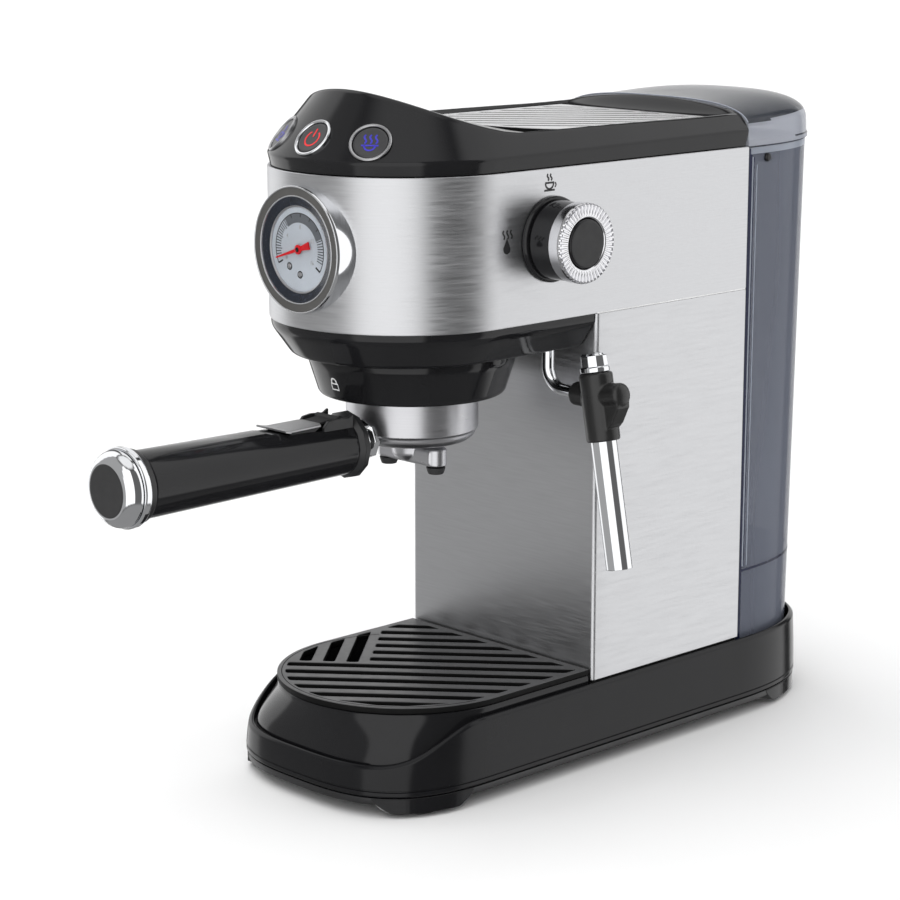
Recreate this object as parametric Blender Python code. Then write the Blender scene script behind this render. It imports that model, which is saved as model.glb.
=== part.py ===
"""Slim pump espresso machine, modelled as the separate pieces it is assembled from.

Metres, +Z up. In the design frame x = 0 is the machine's centre plane, y = 0 the front face of the
column, -Y points to the user and z = 0 is the worktop. The last step moves the whole machine so that
the origin lies on the worktop under the middle of its bounding box.
"""
import math

import bmesh
import bpy
from mathutils import Vector

# ---------------------------------------------------------------- driving dimensions
GAP = 0.0003                 # clearance kept between touching pieces

BODY_HALF_W = 0.0630         # column and head, half width
BODY_REAR_Y = 0.1077         # rear edge of the steel
SHEET = 0.0010               # steel sheet thickness
CORNER_R = 0.0020            # bend of the column's front corners
HEAD_Y = -0.0639             # centre of the head's round front
STEEL_Z = 0.0423             # lower edge of the column's steel
SEAM_Z = 0.2214              # seam between column and head
STEEL_TOP_Z = 0.2915         # upper edge of the head's steel

BASE_HALF_W = 0.0666
BASE_FRONT_DEPTH = 0.0705    # from HEAD_Y forwards
BASE_REAR_Y = 0.1060         # where the round rear of the base starts
BASE_REAR_DEPTH = 0.0846
BASE_LOW_Z = 0.0098
BASE_FLOOR_Z = 0.0225
LIP_SIDE_Z = 0.0414
LIP_FRONT_Z = 0.0243
BASE_WALL = 0.0024
TRAY_REAR_Y = -0.0015        # rear edge of the drip tray and its grate

GRATE_Z = 0.0453
GRATE_T = 0.0030
GRATE_R = 0.0619
GRATE_MARGIN = 0.0038        # solid rim left round the grate's slots
GRATE_PITCH = 0.0115
GRATE_SLOT_W = 0.0058
RIB_TURN = math.radians(41.0)    # plan angle of the ribs on the grate and the warming plate

GROUP_Y = -0.0593            # group axis
GROUP_LOW_Z = 0.1845         # lower rim of the group cover
BOWL_LOW_Z = 0.2043
PF_LOW_Z = 0.1670            # lower edge of the portafilter's wall
PF_R = 0.0313
HANDLE_Z = 0.1643
FLANGE_Y = -0.0984           # front face of the handle's flange
HANDLE_TIP_Y = -0.2380
SPOUT_REACH = 0.0162

GAUGE_Z = 0.2575
GAUGE_R = 0.0290
GAUGE_FRONT_Y = -0.1307
KNOB_Y = -0.0306
KNOB_Z = 0.2592
KNOB_FRONT_X = 0.0855

COVER_BAND_FRONT_Z = 0.2975
COVER_BAND_REAR_Z = 0.2997
RIM_Z = 0.3081
RIM_HALF_W = 0.0558
RIM_Y = -0.0450              # centre of the hood's curved ridge
RIDGE_RISE = 0.0198
REAR_CROWN = 0.0047
RECESS_Z = 0.3039
RECESS_HALF_W = 0.0495
RECESS_REAR_Y = 0.0918
RECESS_ROUND_Y = 0.0120      # where the recess floor's round front begins
RECESS_ROUND = 0.0300        # and how far it reaches forward of that
PLATE_Y = 0.0370             # middle of the cup-warming plate
PLATE_HALF_DEPTH = 0.0550
PLATE_PLAY = 0.0005          # between the plate and the recess around it
PLATE_TOP_Z = 0.3064
PLATE_SHEET = 0.0014
PLATE_PITCH = 0.0113
PLATE_SLOT_W = 0.0052
PLATE_MARGIN = 0.0042        # solid rim left round the plate's slots
BUTTON_R = 0.0098
BUTTON_SPREAD = math.radians(32.0)

WAND_X = 0.0490              # swivel axis of the steam pipe
WAND_Y = -0.0180
WAND_ELBOW = Vector((0.0812, WAND_Y, 0.1870))
WAND_TILT = math.radians(10.6)
WAND_TUBE_R = 0.0062
WAND_LENGTH = 0.0805         # elbow centre to tip

TANK_FRONT_Y = 0.1095
TANK_LOW_Z = 0.0232
TANK_TOP_Z = 0.2912
TANK_WALL = 0.0022
TANK_FLOOR_Z = 0.0740        # underside of the tank's floor, above the plinth it stands over
PLINTH_Z = 0.0712
PLINTH_WALL = 0.0020
TANK_AXIS_Y = 0.1500         # axis of the tank's valve
PIN_Y = 0.1245               # axis of the tank's carrying handle
PIN_Z = 0.2850
LID_LOW_Z = 0.2915
LID_BAND_Z = 0.2985
LID_ARCH_Z = 0.3127          # middle of the lid's front edge
LID_TOP_Z = 0.3160
LID_FRONT_Y = BODY_REAR_Y + 0.0005
LID_WALL = 0.0018

FOOT_X = 0.0500
FOOT_Y = (-0.1020, 0.1500)
FOOT_R = 0.0073
FOOT_T = 0.0024

# ---------------------------------------------------------------- scene and materials
for old in list(bpy.data.objects):
    bpy.data.objects.remove(old)

MACHINE = bpy.data.objects.new("machine", None)
bpy.context.scene.collection.objects.link(MACHINE)


def material(name, rgb, roughness, metallic=0.0, alpha=1.0):
    mat = bpy.data.materials.new(name)
    mat.use_nodes = True
    shader = mat.node_tree.nodes["Principled BSDF"]
    shader.inputs["Base Color"].default_value = (*rgb, 1.0)
    shader.inputs["Roughness"].default_value = roughness
    shader.inputs["Metallic"].default_value = metallic
    shader.inputs["Alpha"].default_value = alpha
    return mat


GLOSS_BLACK = material("gloss_black", (0.012, 0.012, 0.013), 0.12)
SATIN_BLACK = material("satin_black", (0.018, 0.018, 0.019), 0.38)
MATT_BLACK = material("matt_black", (0.025, 0.025, 0.026), 0.62)
BRUSHED_STEEL = material("brushed_steel", (0.62, 0.63, 0.65), 0.32, 1.0)
CHROME = material("chrome", (0.85, 0.86, 0.88), 0.06, 1.0)
SATIN_METAL = material("satin_metal", (0.66, 0.67, 0.69), 0.28, 1.0)
CAST_ALUMINIUM = material("cast_aluminium", (0.55, 0.55, 0.56), 0.45, 1.0)
BRASS = material("brass", (0.72, 0.55, 0.26), 0.35, 1.0)
RUBBER = material("rubber", (0.03, 0.03, 0.03), 0.75)
SILICONE = material("silicone", (0.72, 0.74, 0.74), 0.55)
SMOKED_CLEAR = material("smoked_clear", (0.32, 0.36, 0.44), 0.08, 0.0, 0.45)
CLEAR = material("clear", (0.85, 0.88, 0.92), 0.04, 0.0, 0.25)
DIAL_SILVER = material("dial_silver", (0.70, 0.71, 0.74), 0.45)
RED = material("red", (0.62, 0.02, 0.02), 0.40)
BOARD_GREEN = material("board_green", (0.03, 0.20, 0.09), 0.50)
PUMP_BLUE = material("pump_blue", (0.10, 0.16, 0.30), 0.50)
GREY_PLASTIC = material("grey_plastic", (0.24, 0.24, 0.25), 0.55)


# ---------------------------------------------------------------- mesh helpers
def add_mesh(name, verts, faces, mat, centre=(0, 0, 0), axis=(0, 0, 1)):
    """One closed mesh object, its faces turned outwards, its local +Z laid along axis."""
    mesh = bpy.data.meshes.new(name)
    mesh.from_pydata([tuple(v) for v in verts], [], faces)
    bm = bmesh.new()
    bm.from_mesh(mesh)
    bmesh.ops.recalc_face_normals(bm, faces=bm.faces)
    bm.to_mesh(mesh)
    bm.free()
    mesh.materials.append(mat)
    mesh.shade_smooth()
    mesh.set_sharp_from_angle(angle=math.radians(35))
    obj = bpy.data.objects.new(name, mesh)
    bpy.context.scene.collection.objects.link(obj)
    obj.parent = MACHINE
    obj.location = centre
    obj.rotation_mode = 'QUATERNION'
    obj.rotation_quaternion = Vector((0, 0, 1)).rotation_difference(Vector(axis).normalized())
    return obj


def loft(rings, closed=False):
    """Quads between rings of equal length; closed joins the last ring to the first, else both are capped."""
    size = len(rings[0])
    verts = [p for ring in rings for p in ring]
    faces = []
    last = len(rings) if closed else len(rings) - 1
    for i in range(last):
        a = i * size
        b = ((i + 1) % len(rings)) * size
        for j in range(size):
            k = (j + 1) % size
            faces.append((a + j, a + k, b + k, b + j))
    if not closed:
        faces.append(tuple(range(size)))
        faces.append(tuple((len(rings) - 1) * size + j for j in range(size)))
    return verts, faces


def lofted(name, rings, mat, closed=False):
    return add_mesh(name, *loft(rings, closed), mat)


def turned(name, profile, mat, centre=(0, 0, 0), axis=(0, 0, 1), segments=28, ring=False):
    """A turned solid from (radius, height) points; ring joins the profile's end to its start."""
    verts = []
    rows = []
    for radius, height in profile:
        if radius == 0:
            rows.append([len(verts)])
            verts.append((0, 0, height))
            continue
        rows.append([len(verts) + j for j in range(segments)])
        for j in range(segments):
            turn = 2 * math.pi * j / segments
            verts.append((radius * math.cos(turn), radius * math.sin(turn), height))
    faces = []
    pairs = list(zip(rows, rows[1:]))
    if ring:
        pairs.append((rows[-1], rows[0]))
    for low, high in pairs:
        for j in range(segments):
            k = (j + 1) % segments
            if len(low) == 1:
                faces.append((low[0], high[k], high[j]))
            elif len(high) == 1:
                faces.append((low[j], low[k], high[0]))
            else:
                faces.append((low[j], low[k], high[k], high[j]))
    if not ring and len(rows[0]) > 1:
        faces.append(tuple(rows[0]))
    if not ring and len(rows[-1]) > 1:
        faces.append(tuple(rows[-1]))
    return add_mesh(name, verts, faces, mat, centre, axis)


def disc(name, radius, height, mat, centre, axis=(0, 0, 1), segments=24):
    """A plain cylinder that starts at centre and runs along axis."""
    return turned(name, [(radius, 0), (radius, height)], mat, centre, axis, segments)


def prism(name, outline, low, high, mat):
    rings = [[(x, y, z) for x, y in outline] for z in (low, high)]
    return lofted(name, rings, mat)


def box(name, low, high, mat):
    (x0, y0, z0), (x1, y1, z1) = low, high
    return prism(name, [(x0, y0), (x1, y0), (x1, y1), (x0, y1)], z0, z1, mat)


def smooth_route(points, steps=3):
    """Points read from a Catmull-Rom curve through the route's own points."""
    pts = [Vector(p) for p in points]
    pts = [2 * pts[0] - pts[1]] + pts + [2 * pts[-1] - pts[-2]]
    route = []
    for a, b, c, d in zip(pts, pts[1:], pts[2:], pts[3:]):
        for i in range(steps):
            t = i / steps
            route.append(0.5 * ((2 * b) + (c - a) * t + (2 * a - 5 * b + 4 * c - d) * t ** 2
                                + (3 * b - a - 3 * c + d) * t ** 3))
    route.append(pts[-2])
    return route


def tube(name, points, radius, mat, resolution=2):
    """A round bar along a list of points."""
    curve = bpy.data.curves.new(name, 'CURVE')
    curve.dimensions = '3D'
    curve.bevel_depth = radius
    curve.bevel_resolution = resolution
    curve.use_fill_caps = True
    spline = curve.splines.new('POLY')
    spline.points.add(len(points) - 1)
    for target, point in zip(spline.points, points):
        target.co = (*point, 1.0)
    curve.materials.append(mat)
    obj = bpy.data.objects.new(name, curve)
    bpy.context.scene.collection.objects.link(obj)
    obj.parent = MACHINE
    return obj


def apply_boolean(target, tool, operation):
    modifier = target.modifiers.new(operation.lower() + "_" + tool.name, 'BOOLEAN')
    modifier.operation = operation
    modifier.solver = 'EXACT'
    modifier.object = tool
    tool.hide_render = True
    tool.display_type = 'WIRE'


def cut(target, *tools):
    for tool in tools:
        apply_boolean(target, tool, 'DIFFERENCE')


def join(target, *tools):
    for tool in tools:
        apply_boolean(target, tool, 'UNION')


def pivot(name, location, members):
    """An empty on a joint's axis that carries the pieces which move about it."""
    empty = bpy.data.objects.new(name, None)
    bpy.context.scene.collection.objects.link(empty)
    empty.parent = MACHINE
    empty.location = location
    for obj in members:
        obj.parent = empty
        obj.location = Vector(obj.location) - Vector(location)
        for modifier in obj.modifiers:
            if modifier.type == 'BOOLEAN':
                modifier.object.parent = empty
                modifier.object.location = Vector(modifier.object.location) - Vector(location)
    return empty


# ---------------------------------------------------------------- plan outlines
def superellipse(a, b, power, turn):
    """Point at angle turn on a superellipse, 0 on +X and a quarter turn on -Y."""
    c = math.cos(turn)
    s = math.sin(turn)
    x = a * math.copysign(abs(c) ** (2 / power), c)
    return x, -b * math.copysign(abs(s) ** (2 / power), s)


def base_outline(inset, steps=20):
    """The base's plan: square-round front, straight sides, rounder rear."""
    points = []
    for i in range(steps + 1):
        x, y = superellipse(BASE_HALF_W - inset, BASE_FRONT_DEPTH - inset, 3.0, math.pi * i / steps)
        points.append((x, HEAD_Y + y))
    for i in range(steps + 1):
        x, y = superellipse(BASE_HALF_W - inset, BASE_REAR_DEPTH - inset, 2.5, math.pi * (1 + i / steps))
        points.append((x, BASE_REAR_Y + y))
    return points


def head_outline(inset, rear_y, steps=24, radius=BODY_HALF_W):
    """Round front about HEAD_Y with straight sides back to rear_y."""
    r = radius - inset
    points = [(r, rear_y)]
    for i in range(steps + 1):
        turn = math.pi * i / steps
        points.append((r * math.cos(turn), HEAD_Y - r * math.sin(turn)))
    points.append((-r, rear_y))
    return points


def front_outline(half_w, depth, power, rear_y, steps=24):
    """Drip-tray plan: superellipse front about HEAD_Y, straight sides and a flat rear."""
    points = [(half_w, rear_y)]
    for i in range(steps + 1):
        x, y = superellipse(half_w, depth, power, math.pi * i / steps)
        points.append((x, HEAD_Y + y))
    points.append((-half_w, rear_y))
    return points


def at_height(outline, z):
    return [(x, y, z) for x, y in outline]


def smoothstep(t):
    t = min(max(t, 0.0), 1.0)
    return t * t * (3 - 2 * t)


# ---------------------------------------------------------------- base
def lip_height(y):
    """Height of the base's upper edge: level along the sides, swooping down round the front."""
    drop = smoothstep((-0.078 - y) / 0.050)
    return LIP_SIDE_Z + (LIP_FRONT_Z - LIP_SIDE_Z) * drop


def build_base():
    outer_low = base_outline(0.0)
    outer_top = base_outline(0.0010)
    inner_top = base_outline(0.0010 + BASE_WALL)
    inner_low = base_outline(0.0028)
    rings = [
        at_height(inner_low, BASE_FLOOR_Z - 0.0025),
        at_height(inner_low, BASE_LOW_Z),
        at_height(outer_low, BASE_LOW_Z),
        [(x, y, lip_height(y)) for x, y in outer_top],
        [(x, y, lip_height(y)) for x, y in inner_top],
        at_height(inner_top, BASE_FLOOR_Z),
    ]
    shell = lofted("base_shell", rings, SATIN_BLACK)
    clearance = TANK_WALL + 0.0012
    plinth = lofted("plinth", [at_height(tank_outline(clearance, TANK_LOW_Z), z)
                               for z in (BASE_FLOOR_Z - 0.0010, PLINTH_Z)], SATIN_BLACK)
    hollow = lofted("cut_plinth", [at_height(tank_outline(clearance + PLINTH_WALL, TANK_LOW_Z), z)
                                   for z in (0.0150, PLINTH_Z - PLINTH_WALL)], SATIN_BLACK)
    socket_hole = disc("cut_socket", 0.0088, 0.010, SATIN_BLACK, (0, TANK_AXIS_Y, PLINTH_Z - 0.0050))
    hose_hole = disc("cut_floor_hose", 0.0042, 0.010, SATIN_BLACK, (-0.0250, 0.0900, 0.0150), segments=16)
    gland_hole = disc("cut_gland", 0.0052, 0.012, SATIN_BLACK, (0, 0.1830, 0.0150), (0, 1, 0), 20)
    join(shell, plinth)
    cut(shell, hollow, socket_hole, hose_hole, gland_hole)

    plate = prism("base_plate", base_outline(0.0006), 0.0062, BASE_LOW_Z - GAP, SATIN_BLACK)
    bosses = []
    for side, x in (("left", -FOOT_X), ("right", FOOT_X)):
        for end, y in zip(("front", "rear"), FOOT_Y):
            boss = turned(f"boss_{end}_{side}", [(0.0205, FOOT_T), (0.0270, 0.0070)], SATIN_BLACK, (x, y, 0),
                          segments=20)
            limits = prism(f"boss_limits_{end}_{side}", base_outline(0.0010), 0.0010, 0.0080, SATIN_BLACK)
            apply_boolean(boss, limits, 'INTERSECT')
            bosses.append(boss)
            disc(f"foot_{end}_{side}", FOOT_R, FOOT_T - GAP, RUBBER, (x, y, 0), segments=16)
    join(plate, *bosses)

    turned("cord_gland", [(0.0026, 0), (0.0048, 0), (0.0048, 0.0042), (0.0064, 0.0042), (0.0064, 0.0066),
                          (0.0026, 0.0066)], RUBBER, (0, 0.1868, 0.0150), (0, 1, 0), 12, ring=True)
    turned("tank_socket", [(0.0025, -0.0160), (0.0060, -0.0160), (0.0084, -0.0132), (0.0084, -0.0010),
                           (0.0062, 0.0003), (0.0025, 0.0003)], SILICONE, (0, TANK_AXIS_Y, PLINTH_Z),
           segments=16, ring=True)


def slot_spans(centre, direction, offset, width, stops, inside):
    """Corners of a slot whose two long edges each run as far as inside allows between the stops."""
    ux, uy = direction
    vx, vy = uy, -ux
    corners = []
    for across in (offset - width / 2, offset + width / 2):
        reached = [along for along in (stops[0] + (stops[1] - stops[0]) * i / 400 for i in range(401))
                   if inside(centre[0] + ux * along + vx * across, centre[1] + uy * along + vy * across)]
        if len(reached) < 12:
            return []
        corners.append([(reached[0], across), (reached[-1], across)])
    (a, b), (c, d) = corners
    return [(centre[0] + ux * along + vx * across, centre[1] + uy * along + vy * across)
            for along, across in (a, b, d, c)]


def slot_cutter(name, slots, low, high):
    """One cutter for many four-cornered slots, each with its corners taken off."""
    verts = []
    faces = []
    for slot in slots:
        points = [Vector(p) for p in slot]
        plan = []
        for i, point in enumerate(points):
            back = points[i - 1] - point
            ahead = points[(i + 1) % 4] - point
            trim = min(0.0016, 0.3 * back.length, 0.3 * ahead.length)
            plan += [point + back.normalized() * trim, point + ahead.normalized() * trim]
        base = len(verts)
        count = len(plan)
        for z in (low, high):
            verts += [(x, y, z) for x, y in plan]
        faces.append(tuple(base + j for j in range(count)))
        faces.append(tuple(base + count + j for j in range(count)))
        for j in range(count):
            k = (j + 1) % count
            faces.append((base + j, base + k, base + count + k, base + count + j))
    return add_mesh(name, verts, faces, MATT_BLACK)


def on_grate(x, y):
    """Whether a plan point lies inside the grate's solid rim."""
    reach = GRATE_R - GRATE_MARGIN
    if abs(x) > reach or y > TRAY_REAR_Y - GRATE_MARGIN:
        return False
    return y > HEAD_Y or math.hypot(x, y - HEAD_Y) < reach


def grate_slots():
    """Long slots across the grate, and short ones square to them in its rear left corner."""
    direction = (math.cos(RIB_TURN), math.sin(RIB_TURN))
    square = (-direction[1], direction[0])
    centre = (0.0, HEAD_Y)
    reach = 0.085
    slots = []
    for k in range(12):
        stops = (-reach if k < 6 else -0.0190, reach)
        offset = 0.0548 - k * GRATE_PITCH
        slots.append(slot_spans(centre, direction, offset, GRATE_SLOT_W, stops, on_grate))
    for k in range(3):
        stops = (0.0085, reach)
        offset = -0.0272 - k * GRATE_PITCH
        slots.append(slot_spans(centre, square, offset, GRATE_SLOT_W, stops, on_grate))
    return [slot for slot in slots if slot]


def build_tray():
    rear = TRAY_REAR_Y
    wall = 0.0020

    def tray_ring(inset, z, blend):
        """blend 0 is the round rim of the grate, 1 the squarer outline low in the base."""
        half_w = GRATE_R - 0.0003 + blend * 0.0007 - inset
        depth = GRATE_R - 0.0003 + blend * 0.0044 - inset
        return at_height(front_outline(half_w, depth, 2.0 + blend, rear - inset), z)

    rings = [
        tray_ring(0.0008, 0.0228, 1.0),
        tray_ring(0.0, 0.0236, 1.0),
        tray_ring(0.0, 0.0290, 0.8),
        tray_ring(0.0, 0.0370, 0.35),
        tray_ring(0.0, GRATE_Z - GAP, 0.0),
        tray_ring(wall, GRATE_Z - GAP, 0.0),
        tray_ring(wall, 0.0370, 0.35),
        tray_ring(wall, 0.0290, 0.8),
        tray_ring(wall + 0.0015, 0.0250, 1.0),
    ]
    tray = lofted("drip_tray", rings, GLOSS_BLACK)

    grate = prism("drip_grate", front_outline(GRATE_R, GRATE_R, 2.0, rear), GRATE_Z, GRATE_Z + GRATE_T,
                  SATIN_BLACK)
    cut(grate, slot_cutter("cut_grate_slots", grate_slots(), 0.044, 0.050))
    pivot("pivot_tray", (0, HEAD_Y, BASE_FLOOR_Z), [tray])
    pivot("pivot_grate", (0, HEAD_Y, GRATE_Z), [grate])


# ---------------------------------------------------------------- column and head
def bent_sheet(half_w, rear_y, radius):
    """Plan path of a sheet folded round the column's two front corners."""
    path = [(half_w, rear_y)]
    for i in range(5):
        turn = math.pi / 2 * i / 4
        path.append((BODY_HALF_W - CORNER_R + radius * math.cos(turn), CORNER_R - radius * math.sin(turn)))
    return path + [(-x, y) for x, y in reversed(path)]


def build_column():
    outer_path = bent_sheet(BODY_HALF_W, BODY_REAR_Y, CORNER_R)
    inner_path = bent_sheet(BODY_HALF_W - SHEET, BODY_REAR_Y, CORNER_R - SHEET)
    rings = [[(*o, STEEL_Z), (*o, SEAM_Z - GAP), (*n, SEAM_Z - GAP), (*n, STEEL_Z)]
             for o, n in zip(outer_path, inner_path)]
    lofted("column_cover", rings, BRUSHED_STEEL)

    low = BASE_FLOOR_Z + GAP
    outer = [(0.0616, 0.0014), (0.0616, 0.1040), (-0.0616, 0.1040), (-0.0616, 0.0014)]
    hollow = [(0.0592, 0.0038), (0.0592, 0.1016), (-0.0592, 0.1016), (-0.0592, 0.0038)]
    top = SEAM_Z + 0.0004
    frame = lofted("column_frame", [at_height(outer, low), at_height(outer, top), at_height(hollow, top),
                                    at_height(hollow, low)], SATIN_BLACK, closed=True)
    back = box("back_wall", (-0.0612, 0.1020, low + 0.001), (0.0612, 0.1078, 0.2905), SATIN_BLACK)
    join(frame, back)


def build_head():
    outer = head_outline(0.0, BODY_REAR_Y, 32)
    inner = head_outline(SHEET, BODY_REAR_Y, 32)
    low = SEAM_Z + GAP
    rings = [[(*o, low), (*o, STEEL_TOP_Z), (*n, STEEL_TOP_Z), (*n, low)] for o, n in zip(outer, inner)]
    band = lofted("head_band", rings, BRUSHED_STEEL)
    cut(band,
        disc("cut_gauge", GAUGE_R + GAP, 0.040, BRUSHED_STEEL, (0, -0.105, GAUGE_Z), (0, -1, 0), 36),
        disc("cut_knob", 0.0050, 0.010, BRUSHED_STEEL, (0.058, KNOB_Y, KNOB_Z), (1, 0, 0), 20))

    rear = -0.0008
    bowl_rings = [
        at_height(head_outline(0.0105, rear, 20), BOWL_LOW_Z),
        at_height(head_outline(0.0088, rear, 20), BOWL_LOW_Z + 0.0012),
        at_height(head_outline(0.0016, rear, 20), SEAM_Z - 0.0052),
        at_height(head_outline(0.0008, rear, 20), SEAM_Z - 0.0030),
        at_height(head_outline(0.0008, rear, 20), SEAM_Z),
        at_height(head_outline(0.0034, rear - 0.0026, 20), SEAM_Z),
        at_height(head_outline(0.0118, rear - 0.0026, 20), BOWL_LOW_Z + 0.0024),
    ]
    bowl = lofted("head_underside", bowl_rings, GLOSS_BLACK)
    cut(bowl,
        disc("cut_bowl_group", 0.0420, 0.030, GLOSS_BLACK, (0, GROUP_Y, 0.195), segments=32),
        disc("cut_bowl_pipe", 0.0042, 0.030, GLOSS_BLACK, (WAND_X, WAND_Y, 0.195), segments=12))

    frame = prism("head_frame", head_outline(0.0014, 0.1006, 20), 0.2222, 0.2248, GREY_PLASTIC)
    cut(frame,
        box("cut_frame_column", (-0.050, 0.012, 0.215), (0.050, 0.092, 0.232), GREY_PLASTIC),
        disc("cut_frame_group", 0.0120, 0.020, GREY_PLASTIC, (0, GROUP_Y, 0.215)),
        disc("cut_frame_pipe", 0.0045, 0.020, GREY_PLASTIC, (WAND_X, WAND_Y, 0.215), segments=20))

    deck = [box("deck", (-0.0500, -0.0160, 0.2990), (0.0500, 0.0960, 0.3018), GREY_PLASTIC)]
    for x in (-0.0540, 0.0540):
        for y in (-0.0100, 0.0900):
            deck.append(box(f"post_{len(deck)}", (min(x, x * 0.86), y - 0.003, 0.2230),
                            (max(x, x * 0.86), y + 0.003, 0.3000), GREY_PLASTIC))
    join(frame, *deck)
    build_group()


def build_group():
    centre = (0, GROUP_Y, 0)
    top = BOWL_LOW_Z - GAP
    turned("group_cover", [(0.0412, GROUP_LOW_Z + 0.0012), (0.0420, GROUP_LOW_Z), (0.0430, GROUP_LOW_Z),
                           (0.0437, GROUP_LOW_Z + 0.0008), (0.0486, 0.2004), (0.0490, top), (0.0412, top)],
           GLOSS_BLACK, centre, segments=36, ring=True)
    lug_z = 0.1900
    head = turned("group_head", [(0.0322, 0.1868), (0.0402, 0.1868), (0.0402, 0.2219), (0.0360, 0.2219),
                                 (0.0360, 0.2060), (0.0100, 0.2060), (0.0100, 0.2219), (0.0060, 0.2219),
                                 (0.0060, 0.1995), (0.0318, 0.1995), (0.0318, 0.1942), (0.0374, 0.1942),
                                 (0.0374, lug_z), (0.0322, lug_z)],
                  CAST_ALUMINIUM, centre, segments=32, ring=True)
    notches = []
    for turn in (math.radians(-45), math.radians(135)):
        x = 0.034 * math.cos(turn)
        y = 0.034 * math.sin(turn)
        notch = box(f"notch_{len(notches)}", (-0.0050, -0.0085, 0.1850), (0.0032, 0.0085, 0.1920),
                    CAST_ALUMINIUM)
        notch.location = (x, GROUP_Y + y, 0)
        notch.rotation_quaternion = Vector((1, 0, 0)).rotation_difference(Vector((x, y, 0)).normalized())
        notches.append(notch)
    cut(head, *notches)
    turned("group_gasket", [(0.0262, 0.1946), (0.0314, 0.1946), (0.0314, 0.1992), (0.0262, 0.1992)],
           RUBBER, centre, segments=28, ring=True)
    turned("shower_screen", [(0, 0.1957), (0.0040, 0.1957), (0.0040, 0.1966), (0.0258, 0.1966),
                             (0.0258, 0.1986), (0, 0.1986)], SATIN_METAL, centre)


# ---------------------------------------------------------------- hood
def rim_half_width(y):
    """Half width of the recess rim; straight along the sides, closing round the front."""
    if y >= RIM_Y:
        return RIM_HALF_W
    t = min(abs(y - RIM_Y) / RIM_HALF_W, 1.0)
    return RIM_HALF_W * (1 - t ** 2.2) ** (1 / 2.2)


def rim_in_direction(phi):
    """Rim point straight ahead of the head's centre at plan angle phi from -Y."""
    low = 0.0
    high = 0.12
    for _ in range(40):
        mid = (low + high) / 2
        x = mid * math.sin(phi)
        y = HEAD_Y - mid * math.cos(phi)
        if abs(x) < rim_half_width(y) and y > RIM_Y - RIM_HALF_W:
            low = mid
        else:
            high = mid
    return low * math.sin(phi), HEAD_Y - low * math.cos(phi)


def rim_height(x, y):
    """Height of the rim: level along the sides, arched up to the ridge in front."""
    if y >= RIM_Y:
        return RIM_Z
    return RIM_Z + RIDGE_RISE * max(1 - (x / RIM_HALF_W) ** 2, 0.0) ** 0.75


def band_height(y):
    """Height of the line where the hood's upright edge turns into its slope."""
    share = (BODY_REAR_Y - y) / (BODY_REAR_Y - HEAD_Y + BODY_HALF_W)
    return COVER_BAND_REAR_Z + (COVER_BAND_FRONT_Z - COVER_BAND_REAR_Z) * share


def rear_arch(x):
    """Height of the arch where the hood meets the tank's lid."""
    return RIM_Z + REAR_CROWN * (1 - (x / RIM_HALF_W) ** 2) if abs(x) < RIM_HALF_W else RIM_Z


def band_top(outer):
    """Height of the hood's outer edge: the band round the head, the arch along the rear."""
    x, y = outer
    level = band_height(y)
    if y < BODY_REAR_Y - 2 * GAP or abs(x) > BODY_HALF_W - GAP:
        return level
    drop = max(abs(x) - 0.0540, 0.0) / (BODY_HALF_W - 0.0540)
    return rear_arch(x) + (level - rear_arch(x)) * drop ** 2


def hood_stations(side_steps=5, arc_steps=22):
    """Matching points on the hood's outer edge, its rim and its recess floor, once round."""
    stations = []
    rear = BODY_REAR_Y - GAP
    rear_rim = rear - 0.0020

    def side(sign, i):
        share = i / side_steps
        y = rear + (HEAD_Y - rear) * share
        rim_y = rear_rim + (HEAD_Y - rear_rim) * share
        floor_y = RECESS_REAR_Y + (RECESS_ROUND_Y - RECESS_REAR_Y) * share
        rim = (sign * rim_half_width(rim_y), rim_y, rim_height(rim_half_width(rim_y), rim_y))
        return (sign * BODY_HALF_W, y), rim, (sign * RECESS_HALF_W, floor_y)

    stations += [side(1, i) for i in range(side_steps)]
    for i in range(arc_steps + 1):
        phi = math.pi / 2 - math.pi * i / arc_steps
        outer = (BODY_HALF_W * math.sin(phi), HEAD_Y - BODY_HALF_W * math.cos(phi))
        x, y = rim_in_direction(phi)
        fx, fy = superellipse(RECESS_HALF_W, RECESS_ROUND, 2.5, math.pi * i / arc_steps)
        stations.append((outer, (x, y, rim_height(x, y)), (fx, RECESS_ROUND_Y + fy)))
    stations += [side(-1, i) for i in range(side_steps - 1, -1, -1)]
    for share in (-0.97, -0.88, -0.70, -0.40, 0.0, 0.40, 0.70, 0.88, 0.97):
        stations.append(((share * BODY_HALF_W, rear),
                         (share * RIM_HALF_W, rear_rim, rear_arch(share * RIM_HALF_W)),
                         (share * RECESS_HALF_W, RECESS_REAR_Y)))
    return stations


def shrink(point, amount):
    """Move a plan point inwards from the head's outline."""
    x, y = point
    if y < HEAD_Y:
        reach = math.hypot(x, y - HEAD_Y)
        return x * (1 - amount / reach), HEAD_Y + (y - HEAD_Y) * (1 - amount / reach)
    return x * (1 - amount / BODY_HALF_W), min(y, BODY_REAR_Y - GAP - amount)


def hood_point(phi, share):
    """Point on the sloped front of the hood: plan angle phi, share 0 at the band and 1 at the ridge."""
    low = Vector((BODY_HALF_W * math.sin(phi), HEAD_Y - BODY_HALF_W * math.cos(phi), 0))
    low.z = band_height(low.y)
    x, y = rim_in_direction(phi)
    return low.lerp(Vector((x, y, rim_height(x, y))), share)


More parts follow.
